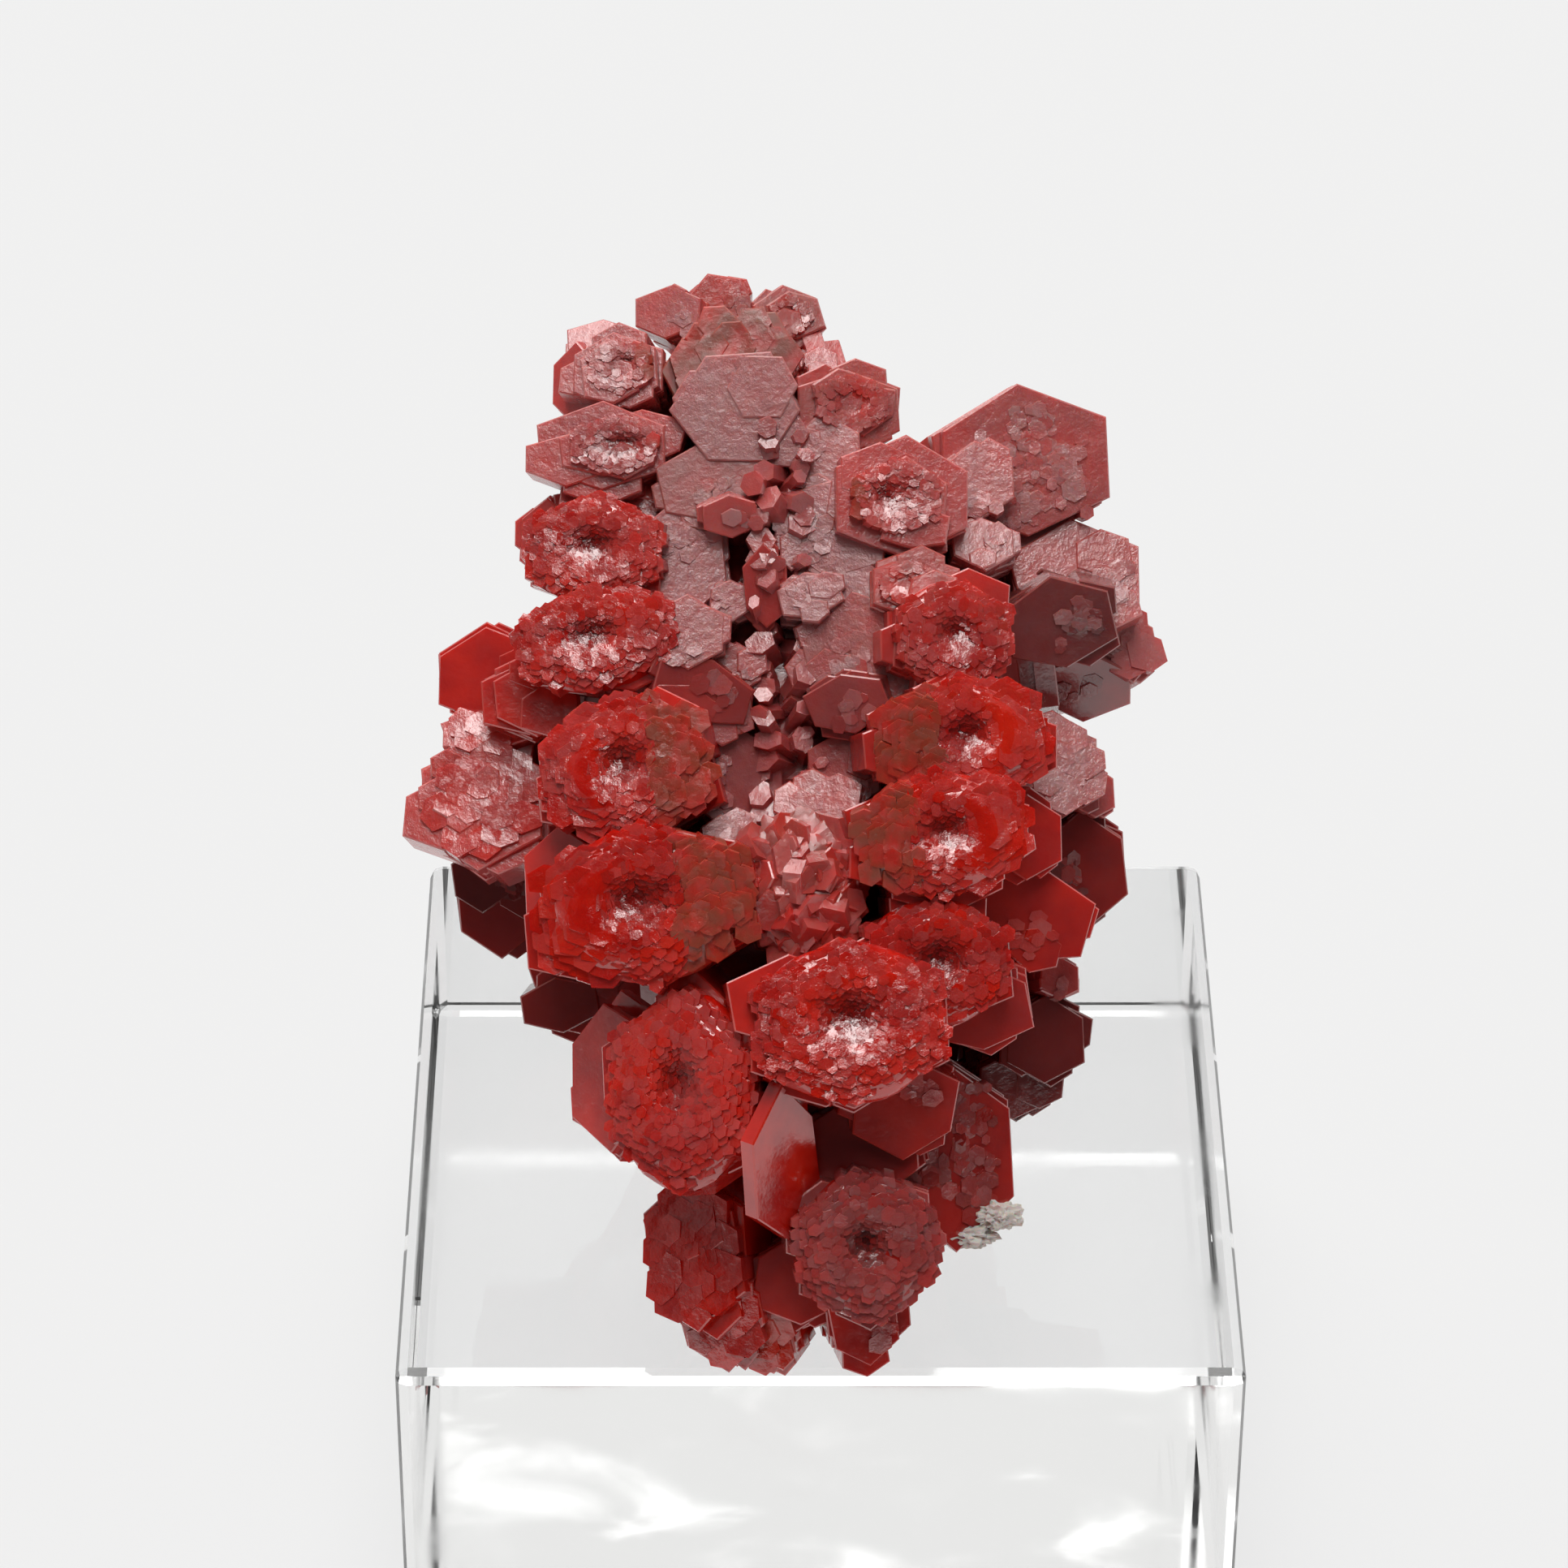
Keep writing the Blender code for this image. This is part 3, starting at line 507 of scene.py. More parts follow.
back_chance = random.Random(BACK_SEED)
back_stones = []
for number, (up, left, right, depth) in enumerate(BACK_ROWS):
    middle = 0.5 * (left + right)
    wide = 0.5 * (right - left) - BACK_INSET * BACK_HALF
    count = max(3, round(0.5 * math.pi * (wide + depth) / BACK_SPACING))
    for place in range(count):
        angle = math.pi * (place + BACK_STARTS[number % 2]) / count
        at = Vector((
            middle - wide * math.cos(angle),
            up,
            BACK_START_OUT - (depth - BACK_INSET * BACK_HALF) * math.sin(angle),
        ))
        at.y += back_chance.uniform(-BACK_DRIFT, BACK_DRIFT)
        facing = Vector((
            -math.cos(angle) / wide, (up - MASS_CENTRE.y) * BACK_TILT, -math.sin(angle) / depth
        ))
        turned = facing.to_track_quat("Z", "Y").to_matrix().to_4x4()
        wobble = Matrix.Rotation(back_chance.uniform(-BACK_NOD, BACK_NOD), 4, "X")
        wobble = wobble @ Matrix.Rotation(back_chance.uniform(-BACK_SPIN, BACK_SPIN), 4, "Z")
        size = BACK_HALF * back_chance.uniform(*BACK_SIZES)
        half = (size * HEX_FLAT, size * back_chance.uniform(*BACK_HEIGHTS))
        name = f"back_{number}_{place}"
        back_stone = crystal(name, at, half, BACK_THICK, (0, 0, 0), "back", BACK_FROST_SHEEN, BACK_TONE)
        back_stone["placement"] = Matrix.Translation(at) @ turned @ wobble
        back_stones.append(back_stone)
        add_layers(back_stone, MASS_CENTRE, LAYER_THICK, LAYER_SWING)

# Blooms: on the large crystals growth went on as overlapping small plates, in rings round a sunken
# eye, like a rose. Towards the groove some of them end in a smooth swollen slope. Flat crystals get
# a few low plates or steps, and one dissolved lump stands in glossy shards.
FINE_SCALE = 0.15
COARSE_SCALE = 0.32
SCALE_SINK = 0.7
SCALE_SWING = 0.05
SCALE_SPIN = 0.10
SCALE_WIDTHS = (0.8, 1.25)
SCALE_HEIGHTS = (0.8, 1.2)
SCALE_FROST_SHEENS = (-0.1, 0.15)
SCALE_TONES = (-0.15, 0.15)
EYE_TILT = 0.45
EYE_WIDTH = 0.34
EYE_DEPTH = 0.75
EYE_SHIFT = 0.70
EYE_RISE = 0.1
# The darker tone deep in a bloom's eye is painted shade in its hollow.
EYE_SHADE_TONE = -0.45
BLOOM_RISE = 0.40
BLOOM_ROUND = 0.92
SMOOTH_SLOPES = ("left_bloom_3", "left_bloom_4", "right_bloom_4", "right_bloom_5")
SLOPE_START = 0.30
SLOPE_SCALE = 1.5
SLOPE_DROP = 0.5
SLOPE_LEAN = 0.30
SLOPE_NOD = -0.14
SLOPE_TONE = 0.8
SLOPE_TONE_SWING = 0.1
OUTER_START = 0.35
OUTER_SCALE = 2.0
OUTER_GAPS = 0.4
RING_SPACING = 1.35
RING_STEP = 0.85
RING_STRAY = 0.2
RING_WOBBLE = (0.95, 1.05)
RING_LIFTS = (-0.03, 0.06)
# For each kind: its share of the rise, the eye's depth, the reach, the slope's share, the size.
RINGS = {
    "bloom": (1.0, EYE_DEPTH, 0.97, 1.0, 1.0),
    "eye": (0.8, EYE_DEPTH, 0.62, 0.6, 0.85),
    "disc": (0.35, 0.0, 0.9, 0.0, 2.7),
}
LEDGE_SHARE = 0.45
LEDGE_LIFT = 0.33
LEDGE_PLACE = 0.56
LEDGE_HEIGHTS = (0.8, 0.95)
LEDGE_STRAY = 0.12
LEDGE_BEVEL = 0.03
LEDGE_SWING = 0.14
LEDGE_SCALY = 0.3
DOME_WAVES = ((1.7, 1.0), (4.5, 0.4))
DOME_WAVE = 0.05
DOME_SHARE = 0.96
DOME_SINK = 1.1
DOME_LEAN = 0.22
DOME_SCALY = 0.8
TERRACES = 2
TERRACE_LOSS = 0.55
TERRACE_LOSSES = (0.7, 1.2)
TERRACE_SIZES = (0.8, 1.0)
TERRACE_RISES = (0.8, 1.2)
TERRACE_ROOM = 0.95
TERRACE_SINK = 0.3
TERRACE_BEVEL = 0.4
TERRACE_SWING = 0.18
TERRACE_SPIN = 0.15
TERRACE_FROST_SHEEN = 0.1
TERRACE_SCALY = 0.2
EYE_TERRACE_RISE = 0.16
BACK_TERRACE_RISE = 0.14
PATCHES = {"plate": 1, "lone": 3}
PATCH_PLATES = 5.0
PATCH_PLACE = 0.45
PATCH_SPREAD = 0.22
PATCH_REACH = 0.72
PATCH_LIFTS = (0.02, 0.09)
PATCH_SIZES = (0.35, 0.8)
PATCH_SCALE = 1.6
PATCH_FROST_SHEEN = 0.35
LUMP_WAVES = ((2.2, 1.0), (5.0, 0.5), (10.0, 0.25))
LUMP_WAVE = 0.28
LUMP_SHARE = 1.05
LUMP_OUT = 0.9
LUMP_FINISH = (0.35, 0.7, 0.0)
SHARDS = 70
SHARD_ROUND = 1.05
SHARD_LEAN = 0.7
SHARD_SWING = 0.5
SHARD_SIZES = (0.3, 0.8)
GROOVE_EDGES = (-1.0, 3.0)
SCALE_SEED = 23

scales = []
scale_chance = random.Random(SCALE_SEED)


def ball(subdivisions):
    """A round form to be shaped further."""
    shape = bmesh.new()
    bmesh.ops.create_icosphere(shape, subdivisions=subdivisions, radius=1.0)
    return shape


def ripple(point, at, waves):
    """How a surface waves at a point; each wave gives how fine and how strong it is."""
    return sum(strength * noise.noise(point * fineness + at) for fineness, strength in waves)


def in_eye(share):
    """How deep in a bloom's eye something lies, from its distance to the middle as a share."""
    return math.exp(-((share / EYE_WIDTH) ** 2))


def hexagon_reach(angle):
    """How far a hexagon with a point at the top reaches in that direction, as a share."""
    sixth = math.radians(60.0)
    return HEX_FLAT / math.cos((angle + 0.5 * sixth) % sixth - 0.5 * sixth)


def bloom_lift(share, rise, eye):
    """Height of a bloom above the crystal's face, with the eye sunk in its middle."""
    crown = rise * math.sqrt(max(0.0, 1.0 - BLOOM_ROUND * share * share))
    return crown - eye * rise * in_eye(share)


def add_scale(stone, place, slope, size, thick, chance, deep=0.0):
    """Notes one small plate on a crystal: its place, turning, size and finish, and how deep in the
    eye it lies, where it is clean and its tone is darkened as painted shade in the sunken eye."""
    facing = Vector((slope[0], slope[1], 1.0)).normalized()
    swing = Vector((chance.gauss(0, SCALE_SWING), chance.gauss(0, SCALE_SWING), 0))
    tilt = Vector((0, 0, 1)).rotation_difference((facing + swing).normalized())
    spin = Matrix.Rotation(chance.gauss(0, SCALE_SPIN), 4, "Z")
    turned = stone["placement"].to_quaternion() @ tilt @ spin.to_quaternion()
    scales.append({
        "place": stone["placement"] @ Vector(place),
        "turned": turned,
        "size": (size * chance.uniform(*SCALE_WIDTHS), size * chance.uniform(*SCALE_HEIGHTS), thick),
        "frost": (1.0 - deep) * min(1.0, max(0.0, stone["frost"] + chance.uniform(*SCALE_FROST_SHEENS))),
        "tone": stone["tone"] + deep * EYE_SHADE_TONE + chance.uniform(*SCALE_TONES),
        "scaly": 1.0,
    })


def eye_shift(stone, inner):
    """How far the eye lies from the crystal's middle: on flat crystals it is nearer the groove."""
    across = EYE_SHIFT if stone["kind"] == "eye" else -0.1 * EYE_SHIFT
    return Vector((across * inner * stone["half"][0], EYE_RISE * stone["half"][1], 0.0))


def add_rings(stone, rise, eye, reach, inner, scale, chance):
    """Rings of small plates round the eye, finer near it; few grow on the side towards the groove."""
    half_across, half_up = stone["half"][0] / HEX_FLAT, stone["half"][1]
    middle = 0.5 * (half_across + half_up)
    share = 0.0
    while share < reach:
        size = scale * (FINE_SCALE + (COARSE_SCALE - FINE_SCALE) * share)
        count = max(1, round(2.0 * math.pi * share * middle / (RING_SPACING * size)))
        start = chance.uniform(0.0, 1.0)
        shift = eye_shift(stone, inner) * (1.0 - share)
        for place in range(count):
            angle = 2.0 * math.pi * (place + start + chance.uniform(-RING_STRAY, RING_STRAY)) / count
            radius = share * hexagon_reach(angle) * chance.uniform(*RING_WOBBLE)
            along, up = radius * math.cos(angle), radius * math.sin(angle)
            on_slope = along * inner > SLOPE_START and share > 0.4
            outer = OUTER_SCALE if along * inner < -OUTER_START else SLOPE_SCALE if on_slope else 1.0
            if outer > 1.0 and chance.random() < OUTER_GAPS:
                continue
            lift = bloom_lift(share, rise, eye) + chance.uniform(*RING_LIFTS)
            if on_slope:
                lift -= SLOPE_DROP * (along * inner - SLOPE_START)
            steep = -EYE_TILT * eye * rise * in_eye(share) * 2.0 / EYE_WIDTH**2
            slope = (0.5 * steep * along / half_across, steep * min(up, 0.3 * up) / half_up)
            if on_slope:
                slope = (SLOPE_LEAN * inner * share, SLOPE_NOD)
            spot = (along * half_across + shift.x, up * half_up + shift.y, lift)
            deep = in_eye(share) if eye else 0.0
            add_scale(stone, spot, slope, outer * size, lift + SCALE_SINK, chance, deep)
            if on_slope:
                scales[-1]["tone"] = SLOPE_TONE + chance.uniform(-SLOPE_TONE_SWING, SLOPE_TONE_SWING)
                scales[-1]["frost"] = 0.0
        share += RING_STEP * size / middle


def add_ledge(stone, rise, inner, chance):
    """A broad plate on the face under the small ones, set towards the outer side."""
    lift = rise * LEDGE_LIFT
    high = LEDGE_SHARE * stone["half"][1] * chance.uniform(*LEDGE_HEIGHTS)
    half = (0.5 * LEDGE_SHARE * stone["half"][0], high)
    ledge = hexagon_layer(half, lift + SCALE_SINK, LEDGE_BEVEL, chance, LEDGE_SWING)
    across = LEDGE_PLACE * (-inner or chance.choice((-1.0, 1.0))) * stone["half"][0]
    up = chance.uniform(-LEDGE_STRAY, LEDGE_STRAY) * stone["half"][1]
    turn = Matrix.Rotation(chance.uniform(-LEDGE_STRAY, LEDGE_STRAY), 4, "Z")
    ledge.transform(stone["placement"] @ Matrix.Translation((across, up, lift)) @ turn)
    finish = (stone["frost"], stone["tone"], LEDGE_SCALY)
    link_form(ledge, f"{stone['name']}_ledge", finish)


def add_dome(stone, rise, eye, inner):
    """The swollen body of a bloom, bare and smooth on the side towards the groove."""
    dome = ball(4)
    shift = eye_shift(stone, inner)
    tones = []
    for point in dome.verts:
        wave = ripple(point.co, stone["at"], DOME_WAVES)
        share = math.hypot(point.co.x, point.co.y)
        side = point.co.x
        tones.append(SLOPE_TONE if side * inner > 0.0 else stone["tone"])
        sunk = DOME_SINK * eye * rise * in_eye(share) if point.co.z > 0.0 else 0.0
        point.co *= 1.0 + DOME_WAVE * wave
        point.co.x = DOME_SHARE * stone["half"][0] * point.co.x + shift.x * (1.0 - share)
        point.co.y = DOME_SHARE * stone["half"][1] * point.co.y + shift.y * (1.0 - share)
        point.co.z = rise * (point.co.z - DOME_LEAN * inner * side) - sunk
    dome.transform(stone["placement"])
    made = link_form(dome, f"{stone['name']}_dome", (0.0, stone["tone"], DOME_SCALY))
    made.data.attributes["tone"].data.foreach_set("value", tones)


def add_terraces(stone, rise, chance):
    """A few broad low steps on a flat face, each set to one side of the one below."""
    for step in range(1, TERRACES + 1):
        share = 1.0 - TERRACE_LOSS * step / (TERRACES + 0.5) * chance.uniform(*TERRACE_LOSSES)
        half = [share * side * chance.uniform(*TERRACE_SIZES) for side in stone["half"]]
        lift = rise * step * chance.uniform(*TERRACE_RISES)
        room_left = TERRACE_ROOM * (1.0 - share)
        slide = [chance.uniform(-room_left, room_left) * side for side in stone["half"]]
        terrace = hexagon_layer(half, lift + TERRACE_SINK, TERRACE_BEVEL * rise, chance, TERRACE_SWING)
        turn = Matrix.Rotation(chance.uniform(-TERRACE_SPIN, TERRACE_SPIN), 4, "Z")
        terrace.transform(stone["placement"] @ Matrix.Translation((*slide, lift)) @ turn)
        frost = min(1.0, stone["frost"] + chance.uniform(-TERRACE_FROST_SHEEN, TERRACE_FROST_SHEEN))
        finish = (frost, stone["tone"], TERRACE_SCALY)
        link_form(terrace, f"{stone['name']}_terrace_{step}", finish)


def add_patch(stone, chance):
    """A few low plates near one side of a flat face, where its growth went on for a while."""
    where = chance.uniform(0.0, 2.0 * math.pi)
    ways = (math.cos(where), math.sin(where))
    middle = [PATCH_PLACE * way * side for way, side in zip(ways, stone["half"])]
    for _ in range(round(PATCH_PLATES * stone["half"][0] * stone["half"][1])):
        spot = [middle[side] + chance.gauss(0.0, PATCH_SPREAD) * stone["half"][side] for side in (0, 1)]
        for side in (0, 1):
            limit = PATCH_REACH * stone["half"][side]
            spot[side] = max(-limit, min(limit, spot[side]))
        spot.append(chance.uniform(*PATCH_LIFTS))
        size = chance.uniform(*PATCH_SIZES) * COARSE_SCALE * PATCH_SCALE
        add_scale(stone, spot, (0.0, 0.0), size, SCALE_SINK, chance)
        scales[-1]["frost"] = min(1.0, scales[-1]["frost"] + PATCH_FROST_SHEEN * chance.random())


def add_rough_lump(stone):
    """A partly dissolved crystal: a lump with deep glossy waves and honey-coloured edges."""
    lump = ball(5)
    for point in lump.verts:
        point.co *= 1.0 + LUMP_WAVE * ripple(point.co, stone["at"], LUMP_WAVES)
        point.co.x *= LUMP_SHARE * stone["half"][0]
        point.co.y *= LUMP_SHARE * stone["half"][1]
        point.co.z *= LUMP_OUT
    lump.transform(stone["placement"])
    link_form(lump, f"{stone['name']}_lump", LUMP_FINISH)


def add_shards(stone, chance):
    """Glossy shards that stand out of the rough lump at all angles."""
    for _ in range(SHARDS):
        around, share = chance.uniform(0.0, 2.0 * math.pi), math.sqrt(chance.random())
        along, up = share * math.cos(around), share * math.sin(around)
        out = math.sqrt(SHARD_ROUND - share * share)
        spot = (along * stone["half"][0], up * stone["half"][1], out)
        slope = [SHARD_LEAN * way + chance.gauss(0.0, SHARD_SWING) for way in (along, up)]
        add_scale(stone, spot, slope, chance.uniform(*SHARD_SIZES), SCALE_SINK, chance)


for stone in placed:
    kind, from_groove = stone["kind"], stone["at"].x - SPINE_ACROSS
    inner = 1.0 if from_groove < GROOVE_EDGES[0] else -1.0 if from_groove > GROOVE_EDGES[1] else 0.0
    slope = inner if kind == "eye" or stone["name"] in SMOOTH_SLOPES else 0.0
    rise = BLOOM_RISE * min(stone["half"])
    if kind == "bloom":
        add_dome(stone, rise, EYE_DEPTH, slope)
        add_ledge(stone, rise, inner, scale_chance)
    elif kind == "eye":
        add_terraces(stone, EYE_TERRACE_RISE, scale_chance)
    elif kind == "rough":
        add_rough_lump(stone)
        add_shards(stone, scale_chance)
    for _ in range(PATCHES.get(kind, 0)):
        add_patch(stone, scale_chance)
    if kind in RINGS:
        share, eye, reach, slope_share, size = RINGS[kind]
        add_rings(stone, share * rise, eye, reach, slope_share * slope, size, scale_chance)
for back_stone in back_stones:
    add_terraces(back_stone, BACK_TERRACE_RISE, scale_chance)

# Groove: where the two rows meet, small vanadinite crystals stand close together like a feather's
# shaft. Each is one small plate with a long root, turned outwards from the middle line.
GROOVE_LOW = 17.6
GROOVE_HIGH = 33.0
GROOVE_STEP = 0.42
GROOVE_HALF = 0.36
GROOVE_APART = 0.5
GROOVE_OUT = 2.2
GROOVE_DRIFT = 0.2
GROOVE_STRAY = 0.35
GROOVE_OUTS = (-0.5, 0.4)
GROOVE_TURNS = (0, 30)
GROOVE_NODS = (-5, 35)
GROOVE_SPINS = (-30, 30)
GROOVE_SIZES = (0.7, 1.4)
GROOVE_LONG = 3.5
GROOVE_FROST_SHEEN = 0.6
GROOVE_TONE = -0.1
GROOVE_SEED = 5

groove_chance = random.Random(GROOVE_SEED)
for number in range(int(2 * (GROOVE_HIGH - GROOVE_LOW) / GROOVE_STEP)):
    side = 1.0 if number % 2 else -1.0
    up = GROOVE_LOW + 0.5 * GROOVE_STEP * number + groove_chance.uniform(-GROOVE_DRIFT, GROOVE_DRIFT)
    across = SPINE_ACROSS + side * (GROOVE_APART + abs(groove_chance.gauss(0.0, GROOVE_STRAY)))
    at = (across, up, GROOVE_OUT + groove_chance.uniform(*GROOVE_OUTS))
    turn = side * groove_chance.uniform(*GROOVE_TURNS)
    turns = (turn, groove_chance.uniform(*GROOVE_NODS), groove_chance.uniform(*GROOVE_SPINS))
    half = (GROOVE_HALF, GROOVE_HALF)
    small = crystal("groove", at, half, GROOVE_LONG, turns, "plate", GROOVE_FROST_SHEEN, GROOVE_TONE)
    size = GROOVE_HALF * groove_chance.uniform(*GROOVE_SIZES)
    add_scale(small, (0.0, 0.0, 0.0), (0.0, 0.0), size, GROOVE_LONG, groove_chance)

# Rock crust: a little of the pale granular rock that the crystals grew on, left on the broken foot.
# It has grown together with the lowest crystals.
ROCK_LUMPS = [
    ((6.2, 5.35, 1.4), (0.8, 0.50, 0.9)),
    ((5.2, 4.65, 1.2), (0.9, 0.45, 0.9)),
    ((0.2, 2.4, 0.6), (1.2, 0.9, 1.0)),
]
ROCK_TONE = 2.0
ROCK_WAVES = ((3.0, 1.0), (8.0, 0.6))
ROCK_WAVE = 0.35

for at, half in ROCK_LUMPS:
    rock = ball(4)
    for point in rock.verts:
        point.co *= 1.0 + ROCK_WAVE * ripple(point.co, Vector(at), ROCK_WAVES)
    bmesh.ops.scale(rock, vec=half, verts=rock.verts)
    bmesh.ops.translate(rock, vec=at, verts=rock.verts)
    link_form(rock, "rock_crust", (0.0, ROCK_TONE, 0.0))

# Intergrowth: all crystals, layers and small plates are one natural solid, so they are joined into
# one closed surface and cut flat where the specimen was broken off and stands on the block.
PLATE_KINDS = 8
PLATE_BEVELS = (0.07, 0.0, 0.0, 0.0)
PLATE_SEED = 31
MASS_FINISH = (0.2, -0.3, 0.5)
CUTTER_SIDE = 0.1
GROWTH_SEED = 4
SHARP_ANGLE = math.radians(24.0)

plates_collection = bpy.data.collections.new("small_plates")
plate_chance = random.Random(PLATE_SEED)
for number in range(PLATE_KINDS):
    bevel = PLATE_BEVELS[number % len(PLATE_BEVELS)]
    plate = hexagon_layer((HEX_FLAT, 1.0), 1.0, bevel, plate_chance)
    plates_collection.objects.link(object_of(plate, f"plate_{number}"))

mass = ball(3)
bmesh.ops.scale(mass, vec=MASS_HALF, verts=mass.verts)
bmesh.ops.translate(mass, vec=MASS_CENTRE, verts=mass.verts)
link_form(mass, "mass", MASS_FINISH)

cutter_form = bmesh.new()
bmesh.ops.create_cube(cutter_form, size=CUTTER_SIDE)
bmesh.ops.translate(cutter_form, vec=(0.0, 0.0, block_top - 0.5 * CUTTER_SIDE), verts=cutter_form.verts)
cutter_form.transform(FACE.inverted())
base_cutter = object_of(cutter_form, "base_cutter")


def build_growth_tree():
    """Puts a small plate on every guide point, joins them with the crystals, cuts the base, and
    carries each crystal's finish over to the joined surface."""
    tree = bpy.data.node_groups.new("grow_together", "GeometryNodeTree")
    for name, kind in [
        ("Geometry", "NodeSocketGeometry"),
        ("Small Plates", "NodeSocketCollection"),
        ("Crystals", "NodeSocketCollection"),
        ("Base Cutter", "NodeSocketObject"),
        ("Plate Scale", "NodeSocketFloat"),
        ("Seed", "NodeSocketInt"),
        ("Material", "NodeSocketMaterial"),
    ]:
        tree.interface.new_socket(name, in_out="INPUT", socket_type=kind)
    tree.interface.new_socket("Geometry", in_out="OUTPUT", socket_type="NodeSocketGeometry")
    make, link = tree.nodes.new, tree.links.new
    given = make("NodeGroupInput")
    result = make("NodeGroupOutput")

    def named(name, kind):
        node = make("GeometryNodeInputNamedAttribute")
        node.data_type = kind
        node.inputs["Name"].default_value = name
        return node.outputs["Attribute"]

    plates = make("GeometryNodeCollectionInfo")
    crystals = make("GeometryNodeCollectionInfo")
    for node, socket in [(plates, "Small Plates"), (crystals, "Crystals")]:
        node.inputs["Separate Children"].default_value = True
        link(given.outputs[socket], node.inputs["Collection"])
    pick = make("FunctionNodeRandomValue")
    pick.data_type = "INT"
    pick.inputs["Min"].default_value = 0
    pick.inputs["Max"].default_value = PLATE_KINDS - 1
    link(given.outputs["Seed"], pick.inputs["Seed"])
    sized = make("ShaderNodeVectorMath")
    sized.operation = "SCALE"
    link(named("size", "FLOAT_VECTOR"), sized.inputs[0])
    link(given.outputs["Plate Scale"], sized.inputs["Scale"])
    on_points = make("GeometryNodeInstanceOnPoints")
    on_points.inputs["Pick Instance"].default_value = True
    link(given.outputs["Geometry"], on_points.inputs["Points"])
    link(plates.outputs[0], on_points.inputs["Instance"])
    link(pick.outputs[2], on_points.inputs["Instance Index"])
    link(named("turned", "QUATERNION"), on_points.inputs["Rotation"])
    link(sized.outputs["Vector"], on_points.inputs["Scale"])

    union = make("GeometryNodeMeshBoolean")
    union.operation = "UNION"
    union.solver = "MANIFOLD"
    link(on_points.outputs[0], union.inputs["Mesh 2"])
    link(crystals.outputs[0], union.inputs["Mesh 2"])
    cutter = make("GeometryNodeObjectInfo")
    link(given.outputs["Base Cutter"], cutter.inputs["Object"])
    cut = make("GeometryNodeMeshBoolean")
    cut.operation = "DIFFERENCE"
    cut.solver = "MANIFOLD"
    link(union.outputs["Mesh"], cut.inputs["Mesh 1"])
    link(cutter.outputs["Geometry"], cut.inputs["Mesh 2"])

    loose = make("GeometryNodeJoinGeometry")
    link(on_points.outputs[0], loose.inputs[0])
    link(crystals.outputs[0], loose.inputs[0])
    realized = make("GeometryNodeRealizeInstances")
    link(loose.outputs[0], realized.inputs[0])
    geometry = cut.outputs["Mesh"]
    for name in FINISHES:
        sample = make("GeometryNodeSampleNearestSurface")
        sample.data_type = "FLOAT"
        link(realized.outputs[0], sample.inputs["Mesh"])
        link(named(name, "FLOAT"), sample.inputs["Value"])
        store = make("GeometryNodeStoreNamedAttribute")
        store.data_type = "FLOAT"
        store.domain = "FACE"
        store.inputs["Name"].default_value = name
        link(geometry, store.inputs["Geometry"])
        link(sample.outputs["Value"], store.inputs["Value"])
        geometry = store.outputs["Geometry"]
    whole = make("GeometryNodeRealizeInstances")
    link(geometry, whole.inputs[0])
    painted = make("GeometryNodeSetMaterial")
    link(whole.outputs[0], painted.inputs["Geometry"])
    link(given.outputs["Material"], painted.inputs["Material"])
    link(painted.outputs[0], result.inputs[0])
    return tree


def set_inputs(modifier, **values):
    """Sets a modifier's inputs by their sockets' identifiers."""
    for item in modifier.node_group.interface.items_tree:
        key = item.name.replace(" ", "_").lower()
        if item.in_out == "INPUT" and key in values:
            modifier[item.identifier] = values[key]


def signed_volume(faces):
    """Six times the volume inside a shell, below zero for a void."""
    total = 0.0
    for face in faces:
        first = face.verts[0].co
        for one, two in zip(face.verts[1:], face.verts[2:]):
            total += first.dot(one.co.cross(two.co))
    return total


def keep_outer_shell(mesh):
    """Removes loose crumbs and the small voids sealed between roots."""
    shape = bmesh.new()
    shape.from_mesh(mesh)
    left = set(shape.faces)
    shells = []
    while left:
        start = left.pop()
        shell, waiting = [start], [start]
        while waiting:
            face = waiting.pop()
            for edge in face.edges:
                for near in edge.link_faces:
                    if near in left:
                        left.remove(near)
                        shell.append(near)
                        waiting.append(near)
        shells.append(shell)
    shells.sort(key=signed_volume)
    spare = [face for shell in shells[:-1] for face in shell]
    bmesh.ops.delete(shape, geom=spare, context="FACES")
    shape.to_mesh(mesh)
    shape.free()


# The vanadinite's finish: deep red, translucent at its edges, with an almost metallic lustre where
# it is clean and a pinkish grey bloom where fine etching frosts it, that colour partly a painted
# sheen of reflected light; painted highlights on the bevelled rims; painted shade deep in the bloom
# eyes and on crystals that lie in shadow; brown where iron stains it.
DEEP_RED = (0.40, 0.004, 0.002, 1.0)
BRIGHT_RED = (0.62, 0.014, 0.004, 1.0)
DARK_RED = (0.060, 0.003, 0.003, 1.0)
RUST_BROWN = (0.22, 0.034, 0.008, 1.0)
FROST_SHEEN_PINK = (0.37, 0.21, 0.21, 1.0)
RIM_HIGHLIGHT_PINK = (0.60, 0.12, 0.07, 1.0)
HONEY = (0.60, 0.20, 0.05, 1.0)
ROCK_PALE = (0.56, 0.53, 0.49, 1.0)
RED_PATCH = 2.2
STAIN_PATCH = 0.9
HONEY_PATCH = 0.8
FROST_SHEEN_PATCH = 0.9
GLOSS_PATCH = 0.5
HONEY_TONES = (1.1, 1.4)
ROCK_TONES = (1.5, 1.9)
FROST_SHEEN_SHARE = 0.75
RIM_HIGHLIGHT_SHARE = 0.12
CLEAN_ROUGHNESS = (0.05, 0.12)
FROST_ROUGHNESS = 0.28
STAIN_ROUGHNESS = 0.32
ROCK_ROUGHNESS = 0.85
CRYSTAL_IOR = 1.95
GLOW_SHARE = 0.35
GLOW_COLOURS = (1.0, 0.10, 0.04)
GLOW_DEPTH = 0.9
CELL_SIZE = 0.30
